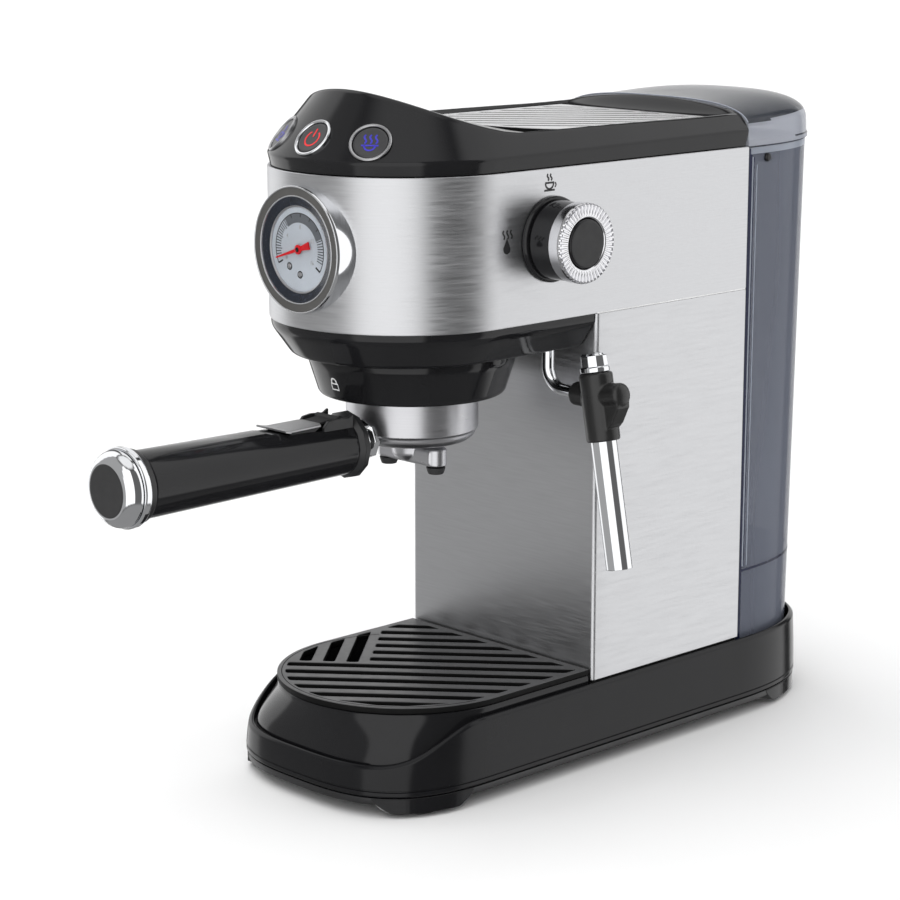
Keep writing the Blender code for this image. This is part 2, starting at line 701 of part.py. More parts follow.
def hood_frame(phi, share):
    """Centre and outward normal of the hood's front face."""
    centre = hood_point(phi, share)
    across = hood_point(phi + 0.02, share) - hood_point(phi - 0.02, share)
    upwards = hood_point(phi, share + 0.02) - hood_point(phi, share - 0.02)
    normal = upwards.cross(across).normalized()
    return centre, normal if normal.y < 0 else -normal


def build_hood():
    low = STEEL_TOP_Z + GAP
    wall = 0.0022
    stations = hood_stations()
    rings = []
    for outer, rim, floor in stations:
        band_z = band_top(outer)
        inner_z = min(band_z - 0.0004, rim[2] - 0.0034)
        middle = ((rim[0] + floor[0]) / 2, (rim[1] + floor[1]) / 2, RECESS_Z + 0.25 * (rim[2] - RECESS_Z))
        under = shrink(outer, wall)
        rings.append([
            (*outer, low), (*outer, band_z), rim, middle, (*floor, RECESS_Z),
            (*floor, RECESS_Z - 0.0016), (middle[0], middle[1], middle[2] - wall),
            (rim[0], rim[1], rim[2] - wall - 0.0006), (*under, inner_z), (*under, low),
        ])
    cover = lofted("top_cover", rings, GLOSS_BLACK, closed=True)

    names = ("coffee", "power", "steam")
    for name, phi in zip(names, (-BUTTON_SPREAD, 0.0, BUTTON_SPREAD)):
        centre, normal = hood_frame(phi, 0.30)
        cut(cover, disc(f"cut_button_{name}", BUTTON_R + GAP, 0.020, GLOSS_BLACK,
                        centre - 0.012 * normal, normal))
        turned(f"button_ring_{name}", [(0.0083, -0.0050), (BUTTON_R, -0.0050), (BUTTON_R, 0.0009),
                                       (0.0083, 0.0006)], CHROME, centre, normal, 24, ring=True)
        button = disc(f"button_{name}", 0.0080, 0.0040, GLOSS_BLACK, centre - 0.0036 * normal, normal)
        pivot(f"pivot_button_{name}", centre, [button])

    rows = []
    steps = 8
    for i in range(steps + 1):
        phi = -0.80 + 1.60 * i / steps
        _, normal = hood_frame(phi, 0.30)
        corners = []
        for share, depth in ((0.12, 0.0072), (0.48, 0.0072), (0.48, 0.0092), (0.12, 0.0092)):
            corners.append(hood_point(phi, share) - depth * normal)
        rows.append(corners)
    lofted("switch_carrier", rows, GREY_PLASTIC)

    plate_outline = []
    for _, _, floor in stations:
        x, y = floor
        plate_outline.append((x * (1 - PLATE_PLAY / RECESS_HALF_W),
                              PLATE_Y + (y - PLATE_Y) * (1 - PLATE_PLAY / PLATE_HALF_DEPTH)))
    plate = prism("warming_plate", plate_outline, 0.3018 + GAP, PLATE_TOP_Z, SATIN_METAL)
    pocket_outline = [(x * 0.965, PLATE_Y + (y - PLATE_Y) * 0.965) for x, y in plate_outline]
    direction = (math.cos(RIB_TURN), math.sin(RIB_TURN))
    centre = (0.0, PLATE_Y)
    slots = [slot_spans(centre, direction, k * PLATE_PITCH, PLATE_SLOT_W, (-0.09, 0.09), on_plate)
             for k in range(-5, 6)]
    cut(plate,
        prism("cut_plate_pocket", pocket_outline, 0.3000, PLATE_TOP_Z - PLATE_SHEET, SATIN_METAL),
        slot_cutter("cut_plate_slots", [slot for slot in slots if slot], 0.300, 0.310))


def on_plate(x, y):
    """Whether a plan point lies inside the warming plate's solid rim."""
    reach = RECESS_HALF_W - PLATE_MARGIN
    if abs(x) > reach or y > RECESS_REAR_Y - PLATE_MARGIN:
        return False
    ahead = (RECESS_ROUND_Y - y) / (RECESS_ROUND - PLATE_MARGIN)
    return ahead < 0 or (abs(x) / reach) ** 2.5 + ahead ** 2.5 < 1


# ---------------------------------------------------------------- gauge and knob
def build_gauge():
    axis = (0, -1, 0)
    back = -0.1120
    centre = (0, back, GAUGE_Z)
    depth = back - GAUGE_FRONT_Y
    turned("gauge_bezel", [(0.0262, 0), (GAUGE_R, 0), (GAUGE_R, depth - 0.0010), (GAUGE_R - 0.0010, depth),
                           (GAUGE_R - 0.0034, depth - 0.0006), (GAUGE_R - 0.0050, depth - 0.0026),
                           (0.0262, depth - 0.0026)], CHROME, centre, axis, 36, ring=True)
    turned("gauge_dial", [(0.0014, 0.0100), (0.0256, 0.0100), (0.0256, 0.0108), (0.0014, 0.0108)],
           DIAL_SILVER, centre, axis, 24, ring=True)
    turned("gauge_lens", [(0, 0.0148), (0.0258, 0.0148), (0.0258, 0.0158), (0, 0.0158)], CLEAR,
           centre, axis, 28)
    turned("gauge_body", [(0, -0.0080), (0.0060, -0.0080), (0.0060, 0.0), (0.0250, 0.0), (0.0250, 0.0097),
                          (0.0014, 0.0097), (0.0014, 0.0040), (0, 0.0040)], GREY_PLASTIC, centre, axis, 24)

    needle = turned("gauge_needle", [(0, 0.0050), (0.0009, 0.0050), (0.0009, 0.0116), (0.0024, 0.0116),
                                     (0.0024, 0.0128), (0, 0.0128)], RED, centre, axis, 10)
    tip = Vector((-0.0166, 0, -0.0066))
    side = Vector((tip.z, 0, -tip.x)).normalized()
    tail = -0.42 * tip
    plan = [tip, side * 0.0010, tail + side * 0.0007, tail - side * 0.0007, side * -0.0010]
    rings = [[Vector((p.x, back - 0.0118 - d, GAUGE_Z + p.z)) for p in plan] for d in (0.0, 0.0006)]
    join(needle, lofted("needle_blade", rings, RED))
    pivot("pivot_needle", centre, [needle])


def build_knob():
    axis = (1, 0, 0)

    def on_axis(x):
        return (x, KNOB_Y, KNOB_Z)

    turned("knob_flange", [(0.0046, 0), (0.0198, 0), (0.0198, 0.0014), (0.0190, 0.0022), (0.0046, 0.0022)],
           GLOSS_BLACK, on_axis(BODY_HALF_W + GAP), axis, 28, ring=True)
    start = BODY_HALF_W + 0.0032
    front = KNOB_FRONT_X - start
    body = turned("knob_body", [(0, 0.0150), (0.0034, 0.0150), (0.0034, 0), (0.0182, 0), (0.0180, 0.0118),
                                (0.0112, 0.0118), (0.0112, front), (0, front)],
                  SATIN_BLACK, on_axis(start), axis, 32)
    ring = turned("knob_ring", [(0.0115, 0.0121), (0.0184, 0.0121), (0.0184, front - 0.0010), (0.0176, front),
                                (0.0115, front - 0.0008)], CHROME, on_axis(start), axis, 36, ring=True)
    stem = disc("valve_stem", 0.0030, 0.0400, BRASS, on_axis(0.0400), axis, 14)
    pivot("pivot_knob", on_axis(start), [body, ring, stem])

    valve = turned("steam_valve", [(0.0, 0), (0.0085, 0), (0.0085, 0.0120), (0.0070, 0.0140),
                                   (0.0070, 0.0330), (0.0034, 0.0330), (0.0034, 0.0120), (0, 0.0120)],
                   BRASS, on_axis(0.0270), axis, 20)
    outlet = disc("valve_outlet", 0.0042, 0.0155, BRASS, (0.0430, KNOB_Y, KNOB_Z - 0.0200), segments=12)
    inlet = disc("valve_inlet", 0.0036, 0.0100, BRASS, (0.0310, KNOB_Y, KNOB_Z - 0.0130), segments=12)
    join(valve, outlet, inlet)


# ---------------------------------------------------------------- portafilter
def build_portafilter():
    centre = (0, GROUP_Y, 0)
    top = 0.1936
    body = turned("portafilter_body", [(0.0268, 0.1600), (0.0300, 0.1640), (PF_R, PF_LOW_Z),
                                       (PF_R, top - 0.0012), (0.0308, top - 0.0008), (0.0308, top - 0.0010),
                                       (0.0292, top - 0.0010), (0.0292, 0.1680), (0.0272, 0.1640),
                                       (0.0060, 0.1630), (0.0060, 0.1600)],
                  SATIN_METAL, centre, segments=32, ring=True)
    lugs = []
    for side in (-1, 1):
        lugs.append(box(f"lug_{side}", (min(side * 0.0300, side * 0.0362), GROUP_Y - 0.0060, 0.1904),
                        (max(side * 0.0300, side * 0.0362), GROUP_Y + 0.0060, 0.1926), SATIN_METAL))
    neck_start = GROUP_Y - PF_R + 0.0010
    neck = turned("neck", [(0.0100, 0), (0.0072, 0.0036), (0.0072, 0.0072)], SATIN_METAL,
                  (0, neck_start, HANDLE_Z + 0.0010), (0, -1, 0), 18)
    rod = disc("rod", 0.0040, 0.0900, SATIN_METAL, (0, neck_start - 0.0060, HANDLE_Z), (0, -1, 0), 14)
    join(body, *lugs, neck, rod)

    basket = turned("filter_basket", [(0, 0.1690), (0.0240, 0.1690), (0.0252, 0.1702), (0.0278, 0.1930),
                                      (0.0278, top - 0.0007), (0.0304, top - 0.0007), (0.0304, top + 0.0005),
                                      (0.0268, top + 0.0005), (0.0242, 0.1710), (0, 0.1702)],
                    SATIN_METAL, centre, segments=28)

    low = 0.1500
    spout = turned("spout", [(0.0, low), (0.0070, low), (0.0090, 0.1530), (0.0090, 0.1597), (0.0, 0.1597)],
                   SATIN_METAL, centre, segments=20)
    arms = []
    for side in (-1, 1):
        x = side * SPOUT_REACH
        arms.append(box(f"spout_arm_{side}", (min(0, x), GROUP_Y - 0.0042, 0.1535),
                        (max(0, x), GROUP_Y + 0.0042, 0.1590), SATIN_METAL))
        arms.append(disc(f"spout_nozzle_{side}", 0.0052, 0.0092, SATIN_METAL, (x, GROUP_Y, low), segments=14))
    join(spout, *arms)
    bores = []
    tips = []
    for side, name in ((-1, "nozzle_tip_left"), (1, "nozzle_tip_right")):
        x = side * SPOUT_REACH
        bores.append(disc(f"cut_nozzle_{side}", 0.0030, 0.0060, SATIN_METAL, (x, GROUP_Y, low - 0.0010),
                          segments=10))
        tips.append(turned(name, [(0.0016, 0), (0.0038, 0), (0.0045, 0.0032), (0.0016, 0.0032)], MATT_BLACK,
                           (x, GROUP_Y, low - 0.0035), segments=14, ring=True))
    cut(spout, *bores)

    axis = (0, -1, 0)
    start = FLANGE_Y
    flange_centre = (0, start, HANDLE_Z)

    def along(y):
        return start - y

    grip = turned("handle_grip", [(0, 0.0960), (0.0044, 0.0960), (0.0044, 0), (0.0142, 0), (0.0152, 0.0010),
                                  (0.0152, 0.0044), (0.0138, 0.0060), (0.0153, along(-0.2224)),
                                  (0.0165, along(-0.2230)), (0.0167, along(-0.2264)), (0, along(-0.2264))],
                  SATIN_BLACK, flange_centre, axis)
    ring = turned("handle_ring", [(0, along(-0.2267)), (0.0180, along(-0.2267)), (0.0180, along(-0.2303)),
                                  (0, along(-0.2303))], CHROME, flange_centre, axis)
    cap = turned("handle_cap", [(0, along(-0.2306)), (0.0170, along(-0.2306)), (0.0166, along(-0.2330)),
                                (0.0150, along(-0.2354)), (0.0112, along(HANDLE_TIP_Y + 0.0004)),
                                (0, along(HANDLE_TIP_Y))], CHROME, flange_centre, axis)
    pieces = [body, basket, spout, *tips, grip, ring, cap]
    pivot("pivot_portafilter", (0, GROUP_Y, 0.1900), pieces)
    return grip


def build_clip(grip):
    """Thumb clip that folds forward over the basket's rim; its ears stand in a slot of the grip."""
    hinge = Vector((0, -0.1120, 0.1784))
    slot = box("cut_clip_slot", (-0.0085, hinge.y - 0.0050, hinge.z - 0.0046),
               (0.0085, hinge.y + 0.0050, 0.1830), SATIN_BLACK)
    cut(grip, slot)
    slot.parent = grip.parent
    slot.location = Vector(slot.location) - Vector(grip.parent.location)
    barrel = disc("basket_clip", 0.0024, 0.0150, SATIN_METAL, (-0.0075, hinge.y, hinge.z), (1, 0, 0), 16)
    profile = [(0.0008, 0.0022), (0.0010, 0.0034), (-0.0160, 0.0046), (-0.0330, 0.0036), (-0.0390, 0.0060),
               (-0.0394, 0.0050), (-0.0332, 0.0026), (-0.0160, 0.0035), (-0.0010, 0.0012)]
    rings = [[Vector((x, hinge.y + y, hinge.z + z)) for y, z in profile] for x in (-0.0066, 0.0066)]
    join(barrel, lofted("clip_plate", rings, SATIN_METAL))
    pivot("pivot_clip", hinge, [barrel])


# ---------------------------------------------------------------- steam wand
def build_wand():
    down = Vector((math.sin(WAND_TILT), 0, -math.cos(WAND_TILT)))
    across = Vector((math.cos(WAND_TILT), 0, math.sin(WAND_TILT)))
    bend = 0.0105
    knee_z = WAND_ELBOW.z + bend - 0.0002
    route = [(WAND_X, WAND_Y, 0.2320), (WAND_X, WAND_Y, 0.2150), (WAND_X, WAND_Y, knee_z + 0.0010)]
    steps = 8
    for i in range(steps + 1):
        turn = math.pi / 2 * i / steps
        route.append((WAND_X + bend * (1 - math.cos(turn)), WAND_Y, knee_z - bend * math.sin(turn)))
    route.append((WAND_ELBOW.x - 0.0150, WAND_Y, WAND_ELBOW.z - 0.0006))
    pipe = tube("steam_pipe", route, 0.0029, CHROME, 3)

    grip = turned("wand_grip", [(0, -0.0112), (0.0066, -0.0112), (0.0079, -0.0106), (0.0079, 0.0200),
                                (0.0076, 0.0206), (0.0065, 0.0206), (0.0065, 0.0070), (0, 0.0070)],
                  RUBBER, WAND_ELBOW, down, 20)
    boss = turned("wand_boss", [(0.0054, 0), (0.0056, 0.0006), (0.0056, 0.0120)], RUBBER,
                  WAND_ELBOW + Vector((-0.0144, 0, -0.0004)), (1, 0, 0), 14)
    lug_profile = [(0.0064, 0), (0.0062, 0.0150)]
    for i in range(1, 3):
        turn = math.pi / 2 * i / 3
        lug_profile.append((0.0062 * math.cos(turn), 0.0150 + 0.0042 * math.sin(turn)))
    lug_profile.append((0, 0.0192))
    lug = turned("wand_lug", lug_profile, RUBBER, WAND_ELBOW - 0.0010 * across, across, 16)
    join(grip, boss, lug)

    cap = turned("wand_cap", [(0, 0), (0.0070, 0), (0.0070, 0.0022), (0.0062, 0.0030), (0.0058, 0.0086),
                              (0, 0.0086)], CHROME, WAND_ELBOW - 0.0115 * down, -down, 20)
    bore = WAND_TUBE_R - 0.0010
    tube_body = turned("wand_tube", [(0, 0.0074), (WAND_TUBE_R, 0.0074), (WAND_TUBE_R, WAND_LENGTH),
                                     (bore, WAND_LENGTH), (bore, 0.0300), (0, 0.0300)],
                       CHROME, WAND_ELBOW, down, 20)
    pivot("pivot_wand", (WAND_X, WAND_Y, BOWL_LOW_Z), [pipe, grip, cap, tube_body])


# ---------------------------------------------------------------- water tank
def tank_outline(inset, height, steps=20):
    """The tank's plan at a height: flat front, straight sides and a round rear that leans out."""
    share = (height - TANK_LOW_Z) / (TANK_TOP_Z - TANK_LOW_Z)
    half_w = 0.0604 + 0.0008 * share - inset
    depth = 0.0800 + 0.0068 * share - inset
    points = [(-half_w + 0.0020, TANK_FRONT_Y + inset), (half_w - 0.0020, TANK_FRONT_Y + inset)]
    for i in range(steps + 1):
        x, y = superellipse(half_w, depth, 2.5, -math.pi * i / steps)
        points.append((x, max(BASE_REAR_Y + y, TANK_FRONT_Y + inset + 0.0020)))
    return points


def build_tank():
    sections = ((TANK_WALL, TANK_FLOOR_Z), (TANK_WALL, TANK_LOW_Z), (0, TANK_LOW_Z), (0, TANK_TOP_Z),
                (TANK_WALL, TANK_TOP_Z), (TANK_WALL, TANK_FLOOR_Z + 0.0025))
    rings = [at_height(tank_outline(inset, z), z) for inset, z in sections]
    body = lofted("tank_body", rings, SMOKED_CLEAR)
    cut(body,
        disc("cut_valve", 0.0112, 0.010, SMOKED_CLEAR, (0, TANK_AXIS_Y, TANK_FLOOR_Z - 0.0030), segments=20),
        disc("cut_handle_pins", 0.0022, 0.140, SMOKED_CLEAR, (-0.070, PIN_Y, PIN_Z), (1, 0, 0), 12))
    valve = turned("tank_valve", [(0, 0.0020), (0.0066, 0.0020), (0.0066, -0.0015), (0.0108, -0.0015),
                                  (0.0108, 0.0028), (0.0130, 0.0028), (0.0130, 0.0045), (0.0090, 0.0060),
                                  (0.0090, 0.0180), (0, 0.0180)], GREY_PLASTIC,
                   (0, TANK_AXIS_Y, TANK_FLOOR_Z), segments=16)

    half_w = 0.0538
    arm_in = half_w - 0.0016
    arm_end = 0.1480
    bail = box("tank_handle", (-half_w, arm_end - 0.0070, PIN_Z - 0.0010), (half_w, arm_end, PIN_Z + 0.0012),
               CLEAR)
    parts = []
    for side in (-1, 1):
        inner = side * arm_in
        outer = side * half_w
        parts.append(box(f"bail_arm_{side}", (min(inner, outer), PIN_Y - 0.0035, PIN_Z - 0.0028),
                         (max(inner, outer), arm_end - 0.0002, PIN_Z + 0.0028), CLEAR))
        parts.append(disc(f"bail_pin_{side}", 0.0018, 0.0080, CLEAR, (side * 0.0530, PIN_Y, PIN_Z),
                          (side, 0, 0), 10))
    join(bail, *parts)

    focus = Vector((0, LID_FRONT_Y))
    outline = lid_outline()
    scales = (1.0, 1.0, 0.985, 0.96, 0.92, 0.84, 0.70, 0.50, 0.25)
    heights = (LID_LOW_Z, LID_BAND_Z) + (None,) * 7
    rings = []
    for scale, level in zip(scales, heights):
        plan = [focus.lerp(Vector(p), scale) for p in outline]
        rings.append([(*p, level or lid_height(scale, p.y)) for p in plan])
    for scale in reversed(scales[1:]):
        plan = [focus.lerp(Vector(p), scale) for p in outline]
        rings.append([(*lid_inner(p), lid_height(scale, p.y) - LID_WALL) for p in plan])
    rings.append([(*lid_inner(Vector(p)), LID_LOW_Z) for p in outline])
    lid = lofted_cap("tank_lid", rings, len(scales), CLEAR)

    pivot("pivot_tank", (0, TANK_AXIS_Y, TANK_LOW_Z), [body, valve])
    pivot("pivot_lid", (0, TANK_AXIS_Y, LID_LOW_Z), [lid])
    pivot("pivot_bail", (0, PIN_Y, PIN_Z), [bail])


LID_SHOULDER = (                 # share of the outline, then of the rise at the front and at the rear
    (1.0, 0.0, 0.0), (0.985, 0.30, 0.42), (0.96, 0.50, 0.64), (0.92, 0.62, 0.78),
    (0.84, 0.74, 0.89), (0.70, 0.86, 0.96), (0.50, 0.95, 0.99), (0.25, 1.0, 1.0),
)


def lid_height(scale, y):
    """Height of the lid at a share of its outline: a low arch in front, fuller and higher to the rear."""
    rearwards = smoothstep((y - LID_FRONT_Y) / 0.045)
    crown = LID_ARCH_Z + (LID_TOP_Z - LID_ARCH_Z) * rearwards
    for (outer, front_a, rear_a), (inner, front_b, rear_b) in zip(LID_SHOULDER, LID_SHOULDER[1:]):
        if scale >= inner:
            share = (outer - scale) / (outer - inner)
            front = front_a + (front_b - front_a) * share
            rear = rear_a + (rear_b - rear_a) * share
            return LID_BAND_Z + (crown - LID_BAND_Z) * (front + (rear - front) * rearwards)
    return crown


def lid_outline(steps=20):
    """The lid's plan: flush with the hood in front, over the tank's round rear."""
    half_w = BODY_HALF_W - 0.0004
    depth = 0.0875
    points = [(share * half_w, LID_FRONT_Y) for share in (-0.5, 0.0, 0.5, 1.0)]
    for i in range(1, steps):
        x, y = superellipse(half_w, depth, 2.5, -math.pi * i / steps)
        points.append((x, max(BASE_REAR_Y + y, LID_FRONT_Y + 0.0010 * min(i, steps - i))))
    points.append((-half_w, LID_FRONT_Y))
    return points


def lid_inner(point):
    """Plan point moved inwards by the lid's wall."""
    x = point.x - math.copysign(min(LID_WALL, abs(point.x) / 2), point.x)
    y = point.y - LID_WALL * (point.y - LID_FRONT_Y) / 0.08
    return x, max(y, LID_FRONT_Y + LID_WALL)


def lofted_cap(name, rings, outer_count, mat):
    """A dome: outer rings up to a cap, then inner rings from their own cap back down, joined at the foot."""
    outer = rings[:outer_count]
    inner = rings[outer_count:]
    return lofted(name, outer[::-1] + inner[::-1], mat)


# ---------------------------------------------------------------- works inside
def build_works():
    block = box("thermoblock", (-0.0380, -0.0930, 0.2251), (0.0300, -0.0120, 0.2460), CAST_ALUMINIUM)
    join(block, box("heater_loop", (-0.0300, -0.0850, 0.2450), (0.0220, -0.0200, 0.2500), CAST_ALUMINIUM))

    turned("pump", [(0, 0.0920), (0.0040, 0.0920), (0.0040, 0.1020), (0.0150, 0.1030), (0.0150, 0.1180),
                    (0.0190, 0.1190), (0.0190, 0.1500), (0.0130, 0.1510), (0.0130, 0.1720), (0.0050, 0.1740),
                    (0.0050, 0.1860), (0, 0.1860)], PUMP_BLUE, (-0.0250, 0.0620, 0), segments=16)
    board = box("control_board", (0.0440, 0.0150, 0.0600), (0.0456, 0.0950, 0.1800), BOARD_GREEN)
    chips = [box("board_relay", (0.0330, 0.0250, 0.0700), (0.0445, 0.0430, 0.0950), BOARD_GREEN),
             box("board_transformer", (0.0240, 0.0560, 0.0700), (0.0445, 0.0880, 0.1010), BOARD_GREEN),
             box("board_chip", (0.0410, 0.0300, 0.1300), (0.0445, 0.0440, 0.1440), BOARD_GREEN)]
    join(board, *chips)

    inlet = smooth_route([(0, 0.1408, 0.0600), (0, 0.1360, 0.0590), (-0.0030, 0.1310, 0.0480),
                          (-0.0060, 0.1290, 0.0240), (-0.0130, 0.1160, 0.0145), (-0.0230, 0.1000, 0.0150),
                          (-0.0250, 0.0900, 0.0190), (-0.0250, 0.0890, 0.0300), (-0.0250, 0.0720, 0.0600),
                          (-0.0250, 0.0620, 0.0760), (-0.0250, 0.0620, 0.0916)])
    tube("inlet_hose", inlet, 0.0028, SILICONE)
    tube("pressure_hose", smooth_route([(-0.0250, 0.0620, 0.1864), (-0.0250, 0.0620, 0.2050),
                                        (-0.0240, 0.0450, 0.2340), (-0.0200, 0.0100, 0.2380),
                                        (-0.0200, -0.0116, 0.2380)]), 0.0025, SILICONE)


def centre_machine():
    """Put the origin on the worktop under the middle of the bounding box."""
    bpy.context.view_layer.update()
    corners = []
    for obj in bpy.data.objects:
        if obj.type in {'MESH', 'CURVE'} and not obj.hide_render:
            corners += [obj.matrix_world @ Vector(corner) for corner in obj.bound_box]
    middle_x = (min(c.x for c in corners) + max(c.x for c in corners)) / 2
    middle_y = (min(c.y for c in corners) + max(c.y for c in corners)) / 2
    MACHINE.location = (-middle_x, -middle_y, 0)


build_base()
build_tray()
build_column()
build_head()
build_hood()
build_gauge()
build_knob()
build_clip(build_portafilter())
build_wand()
build_tank()
build_works()
centre_machine()
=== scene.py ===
"""Looks of the slim pump espresso machine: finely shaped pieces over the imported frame, in metres.

Every piece is modelled in the design frame of the machine: x = 0 is its centre plane, y = 0 the front of the
column, -Y points to the user and z = 0 is the worktop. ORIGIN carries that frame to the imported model's own.
"""

import math

import bmesh
import bpy
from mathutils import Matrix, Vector


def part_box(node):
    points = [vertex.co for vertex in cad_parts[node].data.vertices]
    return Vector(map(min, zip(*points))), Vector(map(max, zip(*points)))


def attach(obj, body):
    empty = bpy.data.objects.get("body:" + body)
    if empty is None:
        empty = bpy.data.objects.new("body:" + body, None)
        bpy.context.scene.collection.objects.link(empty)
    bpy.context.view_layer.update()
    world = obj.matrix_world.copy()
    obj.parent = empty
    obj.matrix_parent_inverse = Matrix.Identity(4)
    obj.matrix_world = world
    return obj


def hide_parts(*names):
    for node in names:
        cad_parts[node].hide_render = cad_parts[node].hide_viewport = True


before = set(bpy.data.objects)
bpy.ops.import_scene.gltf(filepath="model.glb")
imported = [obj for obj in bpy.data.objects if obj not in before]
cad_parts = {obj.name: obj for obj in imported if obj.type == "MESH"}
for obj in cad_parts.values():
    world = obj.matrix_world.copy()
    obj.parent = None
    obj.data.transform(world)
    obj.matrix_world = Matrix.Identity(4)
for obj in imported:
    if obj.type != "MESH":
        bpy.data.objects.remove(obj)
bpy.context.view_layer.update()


def design_origin():
    """The design frame's origin: on the base's centre plane, at the front face of the column."""
    base_low, base_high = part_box("base_shell")
    column_low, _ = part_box("column_cover")
    return Vector(((base_low.x + base_high.x) / 2, column_low.y, 0.0))


ORIGIN = design_origin()

# ---------------------------------------------------------------- the machine's dimensions
BODY_HALF_W = 0.0630         # column and head, half width
BODY_REAR_Y = 0.1077
CORNER_R = 0.0020            # bend of the column's front corners
SHEET = 0.0010               # steel sheet thickness
HEAD_Y = -0.0639             # centre of the head's round front
STEEL_Z = 0.0423             # lower edge of the column's steel
SEAM_Z = 0.2214              # seam between column and head
STEEL_TOP_Z = 0.2915
GAP = 0.0003
SIDES = ((-1, "left"), (1, "right"))

BASE_HALF_W = 0.0666
BASE_FRONT_DEPTH = 0.0705
BASE_REAR_Y = 0.1060
BASE_REAR_DEPTH = 0.0846
BASE_LOW_Z = 0.0098
BASE_FLOOR_Z = 0.0225
LIP_SIDE_Z = 0.0414
LIP_FRONT_Z = 0.0243
BASE_WALL = 0.0024
FOOT_X = 0.0500
FOOT_Y = (-0.1020, 0.1500)
PLINTH_Z = 0.0712

GRATE_Z = 0.0453
GRATE_T = 0.0030
GRATE_R = 0.0619
GRATE_MARGIN = 0.0038
GRATE_PITCH = 0.0115
GRATE_SLOT_W = 0.0058
RIB_TURN = math.radians(41.0)
TRAY_REAR = -0.0015

GROUP_Y = -0.0593
GROUP_LOW_Z = 0.1845
BOWL_LOW_Z = 0.2043
PF_LOW_Z = 0.1670
PF_R = 0.0313
PF_TOP_Z = 0.1936
HANDLE_Z = 0.1643
FLANGE_Y = -0.0984
HANDLE_TIP_Y = -0.2380
SPOUT_REACH = 0.0162

GAUGE_Z = 0.2575
GAUGE_R = 0.0290
GAUGE_BACK_Y = -0.1120
GAUGE_FRONT_Y = -0.1307
DIAL_FACE_T = 0.0158         # the dial's face, ahead of the gauge's back
KNOB_Y = -0.0306
KNOB_Z = 0.2592
KNOB_FRONT_X = 0.0855

COVER_BAND_FRONT_Z = 0.2975
COVER_BAND_REAR_Z = 0.2997
RIM_Z = 0.3081
RIM_HALF_W = 0.0558
RIM_Y = -0.0450
RIDGE_RISE = 0.0198
REAR_CROWN = 0.0047
RECESS_Z = 0.3039
RECESS_HALF_W = 0.0495
RECESS_REAR_Y = 0.0918
RECESS_ROUND_Y = 0.0120
RECESS_ROUND = 0.0300
PLATE_Y = 0.0370
PLATE_HALF_DEPTH = 0.0550
PLATE_PLAY = 0.0005
PLATE_TOP_Z = 0.3064
PLATE_PITCH = 0.0113
PLATE_SLOT_W = 0.0052
PLATE_MARGIN = 0.0042
BUTTON_R = 0.0098
BUTTON_SPREAD = math.radians(32.0)
BUTTON_SHARE = 0.30

WAND_X = 0.0490
WAND_Y = -0.0180
WAND_ELBOW = Vector((0.0812, WAND_Y, 0.1870))
WAND_TILT = math.radians(10.6)
WAND_TUBE_R = 0.0062
WAND_LENGTH = 0.0805

TANK_FRONT_Y = 0.1095
TANK_LOW_Z = 0.0232
TANK_TOP_Z = 0.2912
TANK_WALL = 0.0022
TANK_FLOOR_Z = 0.0740
TANK_AXIS_Y = 0.1500
PIN_Y = 0.1245
PIN_Z = 0.2850
LID_LOW_Z = 0.2915
LID_BAND_Z = 0.2985
LID_ARCH_Z = 0.3127
LID_TOP_Z = 0.3160
LID_FRONT_Y = BODY_REAR_Y + 0.0005
LID_WALL = 0.0018


# ---------------------------------------------------------------- materials
def new_material(name, rgb, roughness, metallic=0.0):
    mat = bpy.data.materials.new(name)
    mat.use_nodes = True
    shader = mat.node_tree.nodes["Principled BSDF"]
    shader.inputs["Base Color"].default_value = (*rgb, 1.0)
    shader.inputs["Roughness"].default_value = roughness
    shader.inputs["Metallic"].default_value = metallic
    return mat


def noise(mat, scale, stretch=(1, 1, 1), detail=4.0):
    """A noise value over the piece's own coordinates, stretched along its grain."""
    nodes = mat.node_tree.nodes
    links = mat.node_tree.links
    coords = nodes.new("ShaderNodeTexCoord")
    mapping = nodes.new("ShaderNodeMapping")
    mapping.inputs["Scale"].default_value = stretch
    texture = nodes.new("ShaderNodeTexNoise")
    texture.inputs["Scale"].default_value = scale
    texture.inputs["Detail"].default_value = detail
    links.new(coords.outputs["Object"], mapping.inputs["Vector"])
    links.new(mapping.outputs["Vector"], texture.inputs["Vector"])
    return texture.outputs["Fac"]


def spread(mat, value, low, high):
    """The middle of a noise value spread over low to high."""
    node = mat.node_tree.nodes.new("ShaderNodeMapRange")
    node.inputs["From Min"].default_value = 0.3
    node.inputs["From Max"].default_value = 0.7
    node.inputs["To Min"].default_value = low
    node.inputs["To Max"].default_value = high
    mat.node_tree.links.new(value, node.inputs["Value"])
    return node.outputs["Result"]


def vary_roughness(mat, value, low, high):
    shader = mat.node_tree.nodes["Principled BSDF"]
    mat.node_tree.links.new(spread(mat, value, low, high), shader.inputs["Roughness"])


def vary_colour(mat, value, first, second):
    nodes = mat.node_tree.nodes
    ramp = nodes.new("ShaderNodeValToRGB")
    ramp.color_ramp.elements[0].position = 0.3
    ramp.color_ramp.elements[1].position = 0.7
    ramp.color_ramp.elements[0].color = (*first, 1.0)
    ramp.color_ramp.elements[1].color = (*second, 1.0)
    mat.node_tree.links.new(value, ramp.inputs["Fac"])
    mat.node_tree.links.new(ramp.outputs["Color"], nodes["Principled BSDF"].inputs["Base Color"])


